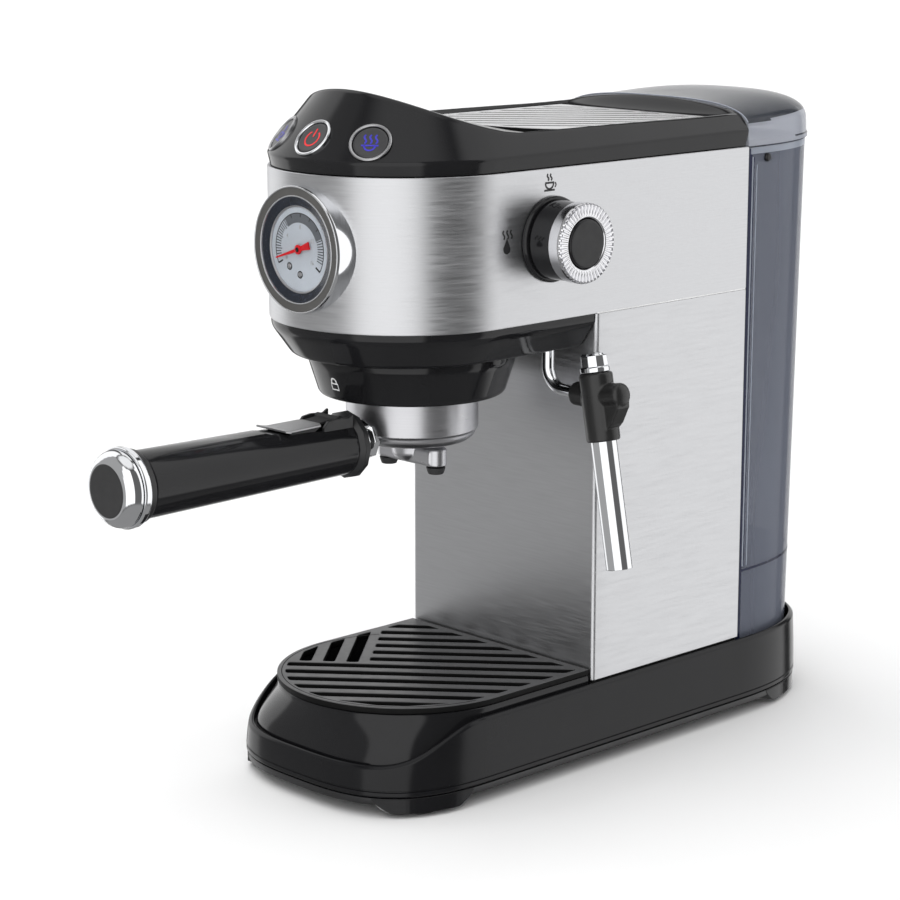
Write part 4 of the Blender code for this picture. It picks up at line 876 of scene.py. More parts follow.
def build_head():
    outer = head_outline(0.0, BODY_REAR_Y)
    inner = head_outline(2 * SHEET, BODY_REAR_Y)
    low = SEAM_Z - GAP + 0.0001
    rings = [sheet_section(o, n, low, STEEL_TOP_Z, 0.0007) for o, n in zip(outer, inner)]
    band = lofted("head_sheet", rings, HEAD_STEEL)
    gauge_hole = round_tool("gauge_hole", GAUGE_R - 0.0004, 0.040, 96, HEAD_STEEL,
                            (0, -0.105, GAUGE_Z), (0, -1, 0))
    knob_hole = round_tool("knob_hole", 0.0050, 0.010, 32, HEAD_STEEL, (0.058, KNOB_Y, KNOB_Z), (1, 0, 0))
    place(carve(band, gauge_hole, knob_hole), "body", "brushed_steel", "head_band")
    # Thin pale strips along the seam on both flanks: a painted highlight standing in for the light caught by
    # the sheets' rounded edges.
    for side, name in SIDES:
        flank = on_plane(Vector((side * BODY_HALF_W, 0, SEAM_Z)), Vector((0, side, 0)), Vector((0, 0, 1)))
        seam = strokes(0.0006, [(side * 0.0004, 0.0001), (side * 0.1072, 0.0001)])
        shine = print_and_highlight(f"seam_painted_highlight_{name}", seam, [], flank, PAINTED_SEAM_HIGHLIGHT, 0.00004)
        place(shine, "body", "brushed_steel")

    rear = -0.0008
    profile = rounded([(0.0180, BOWL_LOW_Z), (0.0100, BOWL_LOW_Z), (0.0016, SEAM_Z - 0.0052),
                       (0.0008, SEAM_Z - 0.0030), (0.0008, SEAM_Z), (0.0034, SEAM_Z),
                       (0.0118, BOWL_LOW_Z + 0.0024), (0.0180, BOWL_LOW_Z + 0.0024)],
                      [0, 0.0022, 0.0020, 0.0012, 0.0004, 0.0004, 0, 0], closed=False, steps=5)
    rings = [at_height(head_outline(inset, rear), z) for inset, z in profile]
    bowl = lofted("head_bowl", rings, GLOSS_BLACK)
    group_hole = round_tool("group_hole", 0.0420, 0.030, 96, GLOSS_BLACK, (0, GROUP_Y, 0.195))
    pipe_hole = round_tool("pipe_hole", 0.0042, 0.030, 48, GLOSS_BLACK, (WAND_X, WAND_Y, 0.195))
    place(carve(bowl, group_hole, pipe_hole), "body", "black_plastic", "head_underside")

    top = BOWL_LOW_Z - GAP
    profile = [(0.0412, GROUP_LOW_Z + 0.0012), (0.0416, GROUP_LOW_Z), (0.0432, GROUP_LOW_Z),
               (0.0442, GROUP_LOW_Z + 0.0012), (0.0486, 0.1996), (0.0490, 0.2014),
               (0.0490, top), (0.0412, top)]
    cover = turned("group_cover_skirt", profile, GLOSS_BLACK, (0, GROUP_Y, 0),
                   radius=[0.0003, 0.0003, 0.0008, 0.0008, 0.001, 0.001, 0.0003, 0], segments=144, ring=True)
    place(cover, "body", "black_plastic", "group_cover")

    def on_cover(u, v, height):
        """Drawn coordinates wrapped round the cone of the group cover."""
        z = 0.1925 + v
        share = (z - (GROUP_LOW_Z + 0.0012)) / (0.1996 - GROUP_LOW_Z - 0.0012)
        radius = 0.0442 + 0.0044 * share + height
        turn = math.radians(-3.0) + u / radius
        return Vector((radius * math.sin(turn), GROUP_Y - radius * math.cos(turn), z))

    line = 0.0008
    case = [(-0.0023, -0.0024), (0.0023, -0.0024), (0.0023, 0.0005), (-0.0023, 0.0005)]
    shackle = [(-0.0017, 0.0005), (-0.0017, 0.0013)] + arc(0, 0.0013, 0.0017, 180, 0, 8) + [(0.0017, 0.0005)]
    lock = print_and_highlight("lock_mark", [(case, line, True), *strokes(line, shackle)], [], on_cover, MARK_WHITE)
    place(lock, "body", "dial_print")


# ---------------------------------------------------------------- hood
def rim_half_width(y):
    """Half width of the recess rim; straight along the sides, closing round the front."""
    if y >= RIM_Y:
        return RIM_HALF_W
    t = min(abs(y - RIM_Y) / RIM_HALF_W, 1.0)
    return RIM_HALF_W * (1 - t ** 2.2) ** (1 / 2.2)


def rim_in_direction(phi):
    """Rim point straight ahead of the head's centre at plan angle phi from -Y."""
    low = 0.0
    high = 0.12
    for _ in range(40):
        mid = (low + high) / 2
        x = mid * math.sin(phi)
        y = HEAD_Y - mid * math.cos(phi)
        if abs(x) < rim_half_width(y) and y > RIM_Y - RIM_HALF_W:
            low = mid
        else:
            high = mid
    return low * math.sin(phi), HEAD_Y - low * math.cos(phi)


def rim_height(x, y):
    """Height of the rim: level along the sides, arched up to the ridge in front."""
    if y >= RIM_Y:
        return RIM_Z
    return RIM_Z + RIDGE_RISE * max(1 - (x / RIM_HALF_W) ** 2, 0.0) ** 0.75


def band_height(y):
    """Height of the line where the hood's upright edge turns into its slope."""
    share = (BODY_REAR_Y - y) / (BODY_REAR_Y - HEAD_Y + BODY_HALF_W)
    return COVER_BAND_REAR_Z + (COVER_BAND_FRONT_Z - COVER_BAND_REAR_Z) * share


def rear_arch(x):
    """Height of the arch where the hood meets the tank's lid."""
    return RIM_Z + REAR_CROWN * (1 - (x / RIM_HALF_W) ** 2) if abs(x) < RIM_HALF_W else RIM_Z


def band_top(outer):
    """Height of the hood's outer edge: the band round the head, the arch along the rear."""
    x, y = outer
    level = band_height(y)
    if y < BODY_REAR_Y - 2 * GAP or abs(x) > BODY_HALF_W - GAP:
        return level
    drop = max(abs(x) - 0.0540, 0.0) / (BODY_HALF_W - 0.0540)
    return rear_arch(x) + (level - rear_arch(x)) * drop ** 2


def hood_stations(side_steps=20, arc_steps=120, rear_steps=30):
    """Matching points on the hood's outer edge, its rim and its recess floor, once round."""
    stations = []
    rear = BODY_REAR_Y - GAP
    rear_rim = rear - 0.0020

    def side(sign, i):
        share = i / side_steps
        y = rear + (HEAD_Y - rear) * share
        rim_y = rear_rim + (HEAD_Y - rear_rim) * share
        floor_y = RECESS_REAR_Y + (RECESS_ROUND_Y - RECESS_REAR_Y) * share
        rim = (sign * rim_half_width(rim_y), rim_y, rim_height(rim_half_width(rim_y), rim_y))
        return (sign * BODY_HALF_W, y), rim, (sign * RECESS_HALF_W, floor_y)

    stations += [side(1, i) for i in range(side_steps)]
    for i in range(arc_steps + 1):
        phi = math.pi / 2 - math.pi * i / arc_steps
        outer = (BODY_HALF_W * math.sin(phi), HEAD_Y - BODY_HALF_W * math.cos(phi))
        x, y = rim_in_direction(phi)
        fx, fy = superellipse(RECESS_HALF_W, RECESS_ROUND, 2.5, math.pi * i / arc_steps)
        stations.append((outer, (x, y, rim_height(x, y)), (fx, RECESS_ROUND_Y + fy)))
    stations += [side(-1, i) for i in range(side_steps - 1, -1, -1)]
    for i in range(1, rear_steps):
        share = math.sin(math.pi * (i / rear_steps - 0.5))
        x = share * RIM_HALF_W
        stations.append(((share * BODY_HALF_W, rear), (x, rear_rim, rear_arch(x)),
                         (share * RECESS_HALF_W, RECESS_REAR_Y)))
    return stations


def shrink(point, amount):
    """Move a plan point inwards from the head's outline."""
    x, y = point
    if y < HEAD_Y:
        reach = math.hypot(x, y - HEAD_Y)
        return x * (1 - amount / reach), HEAD_Y + (y - HEAD_Y) * (1 - amount / reach)
    return x * (1 - amount / BODY_HALF_W), min(y, BODY_REAR_Y - GAP - amount)


def hood_point(phi, share):
    """Point on the sloped front of the hood: plan angle phi, share 0 at the band and 1 at the ridge."""
    low = Vector((BODY_HALF_W * math.sin(phi), HEAD_Y - BODY_HALF_W * math.cos(phi), 0))
    low.z = band_height(low.y)
    x, y = rim_in_direction(phi)
    return low.lerp(Vector((x, y, rim_height(x, y))), share)


def hood_frame(phi, share):
    """Centre, outward normal and upward direction on the hood's front face."""
    centre = hood_point(phi, share)
    across = hood_point(phi + 0.02, share) - hood_point(phi - 0.02, share)
    upwards = hood_point(phi, share + 0.02) - hood_point(phi, share - 0.02)
    normal = upwards.cross(across).normalized()
    if normal.y > 0:
        normal = -normal
    up = (upwards - normal * upwards.dot(normal)).normalized()
    return centre, normal, up


def build_hood():
    low = STEEL_TOP_Z + GAP
    wall = 0.0022
    stations = hood_stations()
    rings = []
    for outer, rim, floor in stations:
        band_z = band_top(outer)
        inner_z = min(band_z - 0.0004, rim[2] - 0.0034)
        foot = shrink(outer, 0.0013)
        middle = ((rim[0] + floor[0]) / 2, (rim[1] + floor[1]) / 2, RECESS_Z + 0.25 * (rim[2] - RECESS_Z))
        under = shrink(outer, wall)
        section = [
            (*foot, low), (*outer, band_z), rim, middle, (*floor, RECESS_Z),
            (*floor, RECESS_Z - 0.0016), (middle[0], middle[1], middle[2] - wall),
            (rim[0], rim[1], rim[2] - wall - 0.0006), (*under, inner_z), (*under, low),
        ]
        rings.append(rounded(section, [0.0003, 0.0010, 0.0022, 0.0060, 0.0010, 0, 0, 0, 0, 0], steps=5))
    cover = lofted("hood_shell", rings, GLOSS_BLACK, closed=True)
    names = ("coffee", "power", "steam")
    holes = []
    for name, phi in zip(names, (-BUTTON_SPREAD, 0.0, BUTTON_SPREAD)):
        centre, normal, _ = hood_frame(phi, BUTTON_SHARE)
        holes.append(round_tool(f"hole_{name}", BUTTON_R + 0.0001, 0.020, 64, GLOSS_BLACK,
                                centre - 0.012 * normal, normal))
    place(carve(cover, *holes, sharp=38), "body", "black_plastic", "top_cover")
    for name, phi in zip(names, (-BUTTON_SPREAD, 0.0, BUTTON_SPREAD)):
        build_button(name, *hood_frame(phi, BUTTON_SHARE))

    outline = []
    for _, _, (x, y) in stations:
        outline.append((x * (1 - PLATE_PLAY / RECESS_HALF_W),
                        PLATE_Y + (y - PLATE_Y) * (1 - PLATE_PLAY / PLATE_HALF_DEPTH)))
    direction = (math.cos(RIB_TURN), math.sin(RIB_TURN))
    slots = [slot_span((0.0, PLATE_Y), direction, k * PLATE_PITCH, PLATE_SLOT_W, (-0.09, 0.09), on_plate)
             for k in range(-5, 6)]
    # The plate's slot walls are in SHADOW_BLACK: painted shade inside the slots.
    plate = outline_curve("warming_plate_top", outline, [slot for slot in slots if slot],
                          0.3018 + GAP, PLATE_TOP_Z, 0.0006, PLATE_STEEL, SHADOW_BLACK)
    place(plate, "body", "satin_steel", "warming_plate")


def on_plate(x, y):
    """Whether a plan point lies inside the warming plate's solid rim."""
    reach = RECESS_HALF_W - PLATE_MARGIN
    if abs(x) > reach or y > RECESS_REAR_Y - PLATE_MARGIN:
        return False
    ahead = (RECESS_ROUND_Y - y) / (RECESS_ROUND - PLATE_MARGIN)
    return ahead < 0 or (abs(x) / reach) ** 2.5 + ahead ** 2.5 < 1


def build_button(name, centre, normal, up):
    ring = turned(f"button_bezel_{name}", [(0.0083, -0.0050), (BUTTON_R, -0.0050), (BUTTON_R, 0.0006),
                                           (BUTTON_R - 0.0004, 0.0010), (0.0086, 0.0009), (0.0083, 0.0004)],
                  CHROME if name == "power" else RING_STEEL, centre, normal, radius=0.0002, ring=True)
    place(ring, "body", "bright_chrome", f"button_ring_{name}")
    face = turned(f"button_face_{name}", [(0, -0.0036), (0.0080, -0.0036), (0.0080, 0.0002), (0.0072, 0.0004),
                                          (0.0040, 0.00032), (0, 0.0003)],
                  BUTTON_GREY, centre, normal, radius=0.0002)
    body = f"{name}_button"
    place(face, body, "button_face", f"button_{name}")
    to_face = on_plane(centre + 0.00036 * normal, up.cross(normal).normalized(), up)
    line = 0.0008
    mat = ICON_BLUE
    if name == "power":
        lines = strokes(line, arc(0, -0.0004, 0.0040, 125, 415, 28), [(0, 0.0004), (0, 0.0048)])
        mat = ICON_RED
    elif name == "coffee":
        lines = [*strokes(line, arc(0, 0.0004, 0.0030, 180, 360, 14), [(-0.0032, 0.0004), (0.0032, 0.0004)]),
                 *strokes(line * 0.8, arc(0.0036, -0.0006, 0.0012, -80, 80, 8)),
                 *strokes(line, wave(0, 0.0014, 0.0042, 0.0006), [(-0.0036, -0.0038), (0.0036, -0.0038)])]
    else:
        wisps = [wave(x, -0.0006, 0.0040, 0.0006) for x in (-0.0026, 0.0, 0.0026)]
        lines = strokes(line, *wisps, arc(0, -0.0016, 0.0026, 180, 360, 12),
                        [(-0.0040, -0.0016), (0.0040, -0.0016)])
    place(print_and_highlight(f"button_icon_{name}", lines, [], to_face, mat), body, "dial_print")


# ---------------------------------------------------------------- gauge and knob
def build_gauge():
    axis = (0, -1, 0)
    centre = (0, GAUGE_BACK_Y, GAUGE_Z)
    depth = GAUGE_BACK_Y - GAUGE_FRONT_Y

    def part(name, profile, mat, *nodes, body="body", slot="bright_chrome",
             radius=0.0002, segments=144, ring=True):
        place(turned(name, profile, mat, centre, axis, radius, segments, ring), body, slot, *nodes)

    part("gauge_rim", [(0.0262, 0), (GAUGE_R, 0), (GAUGE_R, depth - 0.0012), (GAUGE_R - 0.0004, depth),
                       (GAUGE_R - 0.0010, depth), (GAUGE_R - 0.0012, depth - 0.0008),
                       (0.0262, depth - 0.0008)],
         CHROME, "gauge_bezel", radius=[0, 0, 0.0004, 0.0003, 0.0003, 0.0002, 0])
    part("gauge_face_ring", [(0.0240, depth - 0.0040), (0.0279, depth - 0.0040), (0.0279, depth - 0.0004),
                             (0.0240, depth - 0.0006)], RING_GREY, radius=0.0001)
    part("gauge_lip", [(0.0236, depth - 0.0020), (0.0245, depth - 0.0012), (0.0245, depth - 0.0003),
                       (0.0239, depth - 0.0002)], CHROME)
    part("gauge_slope", [(0.0195, 0.0120), (0.0261, 0.0120), (0.0250, depth - 0.0014),
                         (0.0238, depth - 0.0010), (0.0200, DIAL_FACE_T + 0.0008),
                         (0.0195, DIAL_FACE_T + 0.0006)],
         SLOPE_BLACK, radius=[0, 0, 0.0003, 0.0003, 0.0003, 0.0002])
    part("gauge_plate", [(0.0014, 0.0100), (0.0150, 0.0100), (0.0194, DIAL_FACE_T - 0.0012),
                         (0.0194, DIAL_FACE_T), (0.0014, DIAL_FACE_T)],
         DIAL_FACE, "gauge_dial", slot="dial_print", radius=0.0001, segments=96)
    part("gauge_inner_ring", [(0.0189, DIAL_FACE_T - 0.0004), (0.0199, DIAL_FACE_T - 0.0004),
                              (0.0198, DIAL_FACE_T + 0.0009), (0.0191, DIAL_FACE_T + 0.0006)], SATIN_STEEL)
    part("gauge_glass", [(0, 0.0179), (0.0230, 0.0179), (0.0230, 0.0181), (0.0180, 0.0183), (0, 0.0183)],
         LENS_CLEAR, "gauge_lens", slot="lens_clear", radius=0.0001, segments=96, ring=False)

    face = on_plane(Vector((0, GAUGE_BACK_Y - DIAL_FACE_T, GAUGE_Z)), Vector((1, 0, 0)), Vector((0, 0, 1)))
    band = strokes(0.0042, arc(0, 0, 0.0141, 128, 22, 60))
    place(print_and_highlight("gauge_band", band, [], face, DIAL_BAND, 0.00003), "body", "dial_print")
    first = 207.0
    sweep = 240.0

    def tick(share, inner, outer, width):
        turn = math.radians(first - sweep * share)
        return [(r * math.cos(turn), r * math.sin(turn)) for r in (inner, outer)], width, False

    rim = 0.0163
    ticks = [tick(i / 50, 0.0128 if i % 5 else 0.0120, rim, 0.0004) for i in range(3, 17)]
    ticks += [tick(share, 0.0146, rim, 0.0005) for share in (0.40, 0.50, 0.60, 0.70)]
    ticks += [tick(i / 50, 0.0124, rim, 0.0004) for i in range(39, 48)]
    ticks += [tick(0.0, 0.0130, rim, 0.0007), tick(1.0, 0.0130, rim, 0.0009)]
    ticks += strokes(0.0004, arc(0, 0, rim, first, first - sweep, 72))
    place(print_and_highlight("gauge_scale", ticks, [], face, PRINT_BLACK, 0.00006), "body", "dial_print")
    for i, label in enumerate(("0", "4", "8", "12", "16")):
        turn = math.radians(first - sweep * i / 4)
        text = bpy.data.curves.new(f"gauge_number_{label}", 'FONT')
        text.body = label
        text.size = 0.0026
        text.extrude = 0.00005
        text.align_x = 'CENTER'
        text.align_y = 'CENTER'
        text.materials.append(PRINT_GREY)
        spot = face(0.0100 * math.cos(turn), 0.0100 * math.sin(turn), 0.00008)
        number = linked(f"gauge_number_{label}", text, spot)
        number.rotation_euler = (math.pi / 2, 0, 0)
        place(number, "body", "dial_print")
    for side, name in SIDES:
        across = -0.0034 + side * 0.0036
        above = -0.0098 - side * 0.0016
        screw = turned(f"gauge_screw_{name}", [(0, 0.0150), (0.0012, 0.0150), (0.0012, DIAL_FACE_T + 0.0002),
                                               (0.0007, DIAL_FACE_T + 0.0004), (0, DIAL_FACE_T + 0.0004)],
                       SATIN_STEEL, (across, GAUGE_BACK_Y, GAUGE_Z + above), axis, radius=0.0002, segments=32)
        place(screw, "body", "dial_print")
        edge = [(arc(across, above, 0.0015, 0, 345, 24), 0.0005, True)]
        sink = print_and_highlight(f"gauge_screw_edge_{name}", edge, [], face, PRINT_BLACK, 0.00008)
        place(sink, "body", "dial_print")

    tip = Vector((-0.0152, -0.0050))
    along = tip.normalized()
    side = Vector((-along.y, along.x))
    tail = -0.0080 * along
    blade = [tip + side * 0.0003, side * 0.0008, side * -0.0008, tip - side * 0.0003]
    wedge = [side * 0.0007, tail + side * 0.0018, tail - side * 0.0018, side * -0.0007]
    needle_face = on_plane(Vector((0, GAUGE_BACK_Y - 0.0168, GAUGE_Z)), Vector((1, 0, 0)), Vector((0, 0, 1)))
    needle = print_and_highlight("gauge_pointer", [], [blade, wedge], needle_face, NEEDLE_RED, 0.0002)
    place(needle, "needle", "needle_red", "gauge_needle")
    part("gauge_pointer_hub", [(0, 0.0050), (0.0009, 0.0050), (0.0009, 0.0160), (0.0022, 0.0164),
                               (0.0022, 0.0171), (0.0014, 0.0173), (0, 0.0173)],
         NEEDLE_RED, body="needle", slot="needle_red", segments=48, ring=False)
    part("gauge_pointer_pin", [(0, 0.0110), (0.0011, 0.0110), (0.0011, 0.0175), (0, 0.0175)],
         GLOSS_BLACK, body="needle", slot="needle_red", segments=32, ring=False)


def build_knob():
    axis = (1, 0, 0)

    def on_axis(x):
        return (x, KNOB_Y, KNOB_Z)

    flange = turned("knob_collar", [(0.0046, 0), (0.0198, 0), (0.0198, 0.0012), (0.0190, 0.0022),
                                    (0.0046, 0.0022)],
                    GLOSS_BLACK, on_axis(BODY_HALF_W + GAP), axis, ring=True)
    place(flange, "body", "black_plastic", "knob_flange")
    start = BODY_HALF_W + 0.0032
    front = KNOB_FRONT_X - start
    barrel = turned("knob_barrel", [(0, 0.0100), (0.0034, 0.0100), (0.0034, 0), (0.0180, 0), (0.0182, 0.0010),
                                    (0.0179, 0.0118), (0.0112, 0.0118), (0.0112, front - 0.0012),
                                    (0.0108, front - 0.0004), (0, front - 0.0002)],
                    GLOSS_BLACK, on_axis(start), axis,
                    radius=[0, 0, 0, 0.0004, 0.0004, 0.0003, 0, 0, 0.0004, 0], segments=144)
    place(barrel, "knob", "knob_plastic", "knob_body")
    centre_cap = turned("knob_centre", [(0, front - 0.0010), (0.0105, front - 0.0010),
                                        (0.0105, front - 0.0001), (0.0098, front), (0, front)],
                        MATT_BLACK, on_axis(start), axis, radius=0.0002)
    place(centre_cap, "knob", "knob_plastic")

    profile = rounded([(0.0115, 0.0121), (0.0184, 0.0121), (0.0184, front - 0.0014), (0.0176, front),
                       (0.0122, front - 0.0006), (0.0115, front - 0.0012)],
                      [0, 0.0003, 0.0007, 0.0007, 0.0003, 0.0003], closed=True, steps=4)
    teeth = 48
    per_tooth = 6
    verts, faces = turn_profile(profile, teeth * per_tooth, True)
    knurled = []
    for i, (x, y, z) in enumerate(verts):
        radius = math.hypot(x, y)
        phase = (i % (teeth * per_tooth)) % per_tooth
        if 0.0128 < radius < 0.0182 and z > front - 0.0040 and phase in (0, 1, 2):
            z -= 0.00120
        knurled.append((x, y, z))
    rows = make_object("knob_chrome_ring", knurled, faces, KNURL_STEEL, on_axis(start), axis, sharp=30)
    place(rows, "knob", "bright_chrome", "knob_ring")

    side = on_plane(Vector((BODY_HALF_W, 0, 0)), Vector((0, 1, 0)), Vector((0, 0, 1)))
    line = 0.0009
    y0, z0 = -0.0325, 0.2838
    cup = [*strokes(line, arc(y0, z0 + 0.0010, 0.0026, 180, 360, 14),
                    [(y0 - 0.0029, z0 + 0.0012), (y0 + 0.0029, z0 + 0.0012)],
                    [(y0 - 0.0034, z0 - 0.0022), (y0 + 0.0034, z0 - 0.0022)]),
           *strokes(line * 0.8, arc(y0 + 0.0032, z0 + 0.0001, 0.0010, -80, 80, 8)),
           *strokes(line, *[wave(y0 + dy, z0 + 0.0022, z0 + 0.0052, 0.0005) for dy in (-0.0010, 0.0010)])]
    place(print_and_highlight("cup_mark", cup, [], side, PRINT_BLACK), "body", "dial_print")
    y0, z0 = -0.0597, 0.2572
    drop = arc(y0, z0, 0.0022, 150, 390, 20) + [(y0, z0 + 0.0050)]
    wisps = [wave(y0 + dy, z0 + 0.0046, z0 + 0.0086, 0.0005) for dy in (-0.0020, 0.0004, 0.0028)]
    place(print_and_highlight("hot_water_mark", strokes(line, *wisps), [drop], side, PRINT_BLACK), "body", "dial_print")


# ---------------------------------------------------------------- portafilter
def build_portafilter():
    centre = (0, GROUP_Y, 0)
    profile = [(0.0, 0.1602), (0.0150, 0.1602), (0.0262, 0.1612), (0.0296, 0.1640),
               (0.0302, PF_LOW_Z - 0.0006), (PF_R, PF_LOW_Z + 0.0002), (PF_R, PF_TOP_Z - 0.0012),
               (0.0308, PF_TOP_Z - 0.0008),
               (0.0292, PF_TOP_Z - 0.0010), (0.0292, 0.1680), (0.0272, 0.1644), (0.0, 0.1634)]
    shell = turned("holder_bowl", profile, SATIN_STEEL, centre,
                   radius=[0, 0.004, 0.004, 0.0022, 0.0005, 0.0005, 0.0005, 0.0004, 0, 0, 0, 0], segments=144)
    place(shell, "portafilter", "satin_steel", "portafilter_body")
    for side, name in SIDES:
        ears = []
        for radius in (0.0300, 0.0358):
            for turn in (-10, -5, 0, 5, 10):
                angle = math.radians(turn)
                ears.append((side * radius * math.cos(angle), GROUP_Y + radius * math.sin(angle)))
        outline = ears[:5] + ears[:4:-1]
        lug = lofted(f"holder_lug_{name}", [at_height(outline, z) for z in (0.1904, 0.1926)], SATIN_STEEL)
        place(bevelled(lug), "portafilter", "satin_steel")
    neck_y = GROUP_Y - PF_R + 0.0010
    neck = turned("holder_neck", [(0, -0.0010), (0.0100, -0.0010), (0.0096, 0.0014), (0.0074, 0.0034),
                                  (0.0072, 0.0072), (0, 0.0072)],
                  CHROME, (0, neck_y, HANDLE_Z + 0.0010), (0, -1, 0), segments=8)
    place(bevelled(neck), "portafilter", "satin_steel")
    rod = turned("holder_rod", [(0, 0), (0.0040, 0), (0.0040, 0.0900), (0, 0.0900)], SATIN_STEEL,
                 (0, neck_y - 0.0060, HANDLE_Z), (0, -1, 0))
    place(rod, "portafilter", "satin_steel")
    build_spout()
    build_handle()


def build_spout():
    """The casting under the holder: a boss, one slab reaching past both nozzles, and their tips."""
    low = 0.1500
    profile = [(0.0, 0.1512), (0.0066, 0.1512), (0.0094, 0.1545), (0.0098, 0.1599), (0.0, 0.1599)]
    boss = plain_turned("spout_casting", rounded(profile, 0.001, closed=False), 48, SATIN_STEEL,
                        (0, GROUP_Y, 0))
    rings = []
    for i in range(17):
        share = abs(i - 8) / 8
        half_y = 0.0062 - 0.0006 * smoothstep(share)
        bottom = 0.1501
        top = 0.1596 - 0.0008 * smoothstep(share)
        half_z = (top - bottom) / 2
        ring = []
        for j in range(24):
            dy, dz = superellipse(half_y, half_z, 4.5, 2 * math.pi * j / 24)
            ring.append(((i - 8) / 8 * (SPOUT_REACH + 0.0011), GROUP_Y + dy, bottom + half_z + dz))
        rings.append(ring)
    parts = [lofted("spout_slab", rings, SATIN_STEEL)]
    nozzle = [(0, 0), (0.0052, 0), (0.0052, 0.0078), (0.0040, 0.0088), (0, 0.0088)]
    for side, name in SIDES:
        x = side * SPOUT_REACH
        parts.append(plain_turned(f"spout_nozzle_{side}", nozzle, 48, SATIN_STEEL,
                                  (x, GROUP_Y, low + 0.0004)))
        tip = turned(f"spout_tip_{name}", [(0.0016, 0), (0.0036, 0), (0.0042, 0.0016), (0.0046, 0.0032),
                                           (0.0016, 0.0032)],
                     MATT_BLACK, (x, GROUP_Y, low - 0.0035), radius=0.0003, ring=True)
        place(tip, "portafilter", "tip_plastic", f"nozzle_tip_{name}")
    place(blended(boss, parts, 0.00045, 5), "portafilter", "satin_steel", "spout")


def build_handle():
    axis = (0, -1, 0)
    flange_centre = (0, FLANGE_Y, HANDLE_Z)

    def along(y):
        return FLANGE_Y - y

    flange = turned("handle_flange", [(0, 0), (0.0142, 0), (0.0158, 0.0014), (0.0158, 0.0040),
                                      (0.0140, 0.0062), (0, 0.0062)],
                    SATIN_BLACK, flange_centre, axis, radius=0.0002, segments=12)
    place(bevelled(flange, 0.0003), "portafilter", "handle_plastic")
    end = along(-0.2224)
    profile = rounded([(0, 0.0058), (0.0134, 0.0058), (0.0137, 0.0070), (0.0152, end - 0.0006),
                       (0.0148, end), (0, end)], 0.0006, closed=False)
    grip = plain_turned("handle_barrel", profile, 144, GLOSS_BLACK, flange_centre, axis)
    hinge = Vector((0, -0.1120, 0.1784))
    rings = []
    for y, half_w, floor in ((hinge.y - 0.0440, 0.0020, 0.1792), (hinge.y - 0.0400, 0.0060, 0.1772),
                             (hinge.y - 0.0250, 0.0088, 0.1760), (hinge.y - 0.0060, 0.0090, 0.1745),
                             (hinge.y + 0.0050, 0.0085, 0.1738)):
        rings.append([(-half_w, y, floor), (half_w, y, floor), (half_w, y, 0.1830), (-half_w, y, 0.1830)])
    window = lofted("clip_window", rings, MATT_BLACK)
    place(carve(grip, window), "portafilter", "handle_plastic", "handle_grip")

    def part(name, profile, mat, slot, *nodes, radius=0.0003):
        place(turned(name, profile, mat, flange_centre, axis, radius), "portafilter", slot, *nodes)

    part("handle_collar", [(0, end + 0.0002), (0.0158, end + 0.0002), (0.0165, end + 0.0008),
                           (0.0167, along(-0.2264)), (0, along(-0.2264))],
         SATIN_BLACK, "handle_plastic", radius=0.0004)
    part("handle_band", [(0, along(-0.2267)), (0.0178, along(-0.2267)), (0.0180, along(-0.2274)),
                         (0.0180, along(-0.2296)), (0.0176, along(-0.2303)), (0, along(-0.2303))],
         CHROME, "bright_chrome", "handle_ring")
    dome = [(0, along(-0.2306)), (0.0170, along(-0.2306))]
    for i in range(9):
        turn = math.radians(6 + 62 * i / 8)
        dome.append((0.0098 + 0.0073 * math.cos(turn), along(-0.2310 - 0.0072 * math.sin(turn))))
    dome.append((0, along(HANDLE_TIP_Y + 0.0003)))
    part("handle_dome", dome, CHROME, "bright_chrome", "handle_cap")
    part("handle_disc", [(0, along(-0.2370)), (0.0118, along(-0.2370)), (0.0118, along(-0.2378)),
                         (0.0112, along(HANDLE_TIP_Y)), (0, along(HANDLE_TIP_Y))],
         MATT_BLACK, "handle_plastic", radius=0.0002)
    build_clip(hinge)


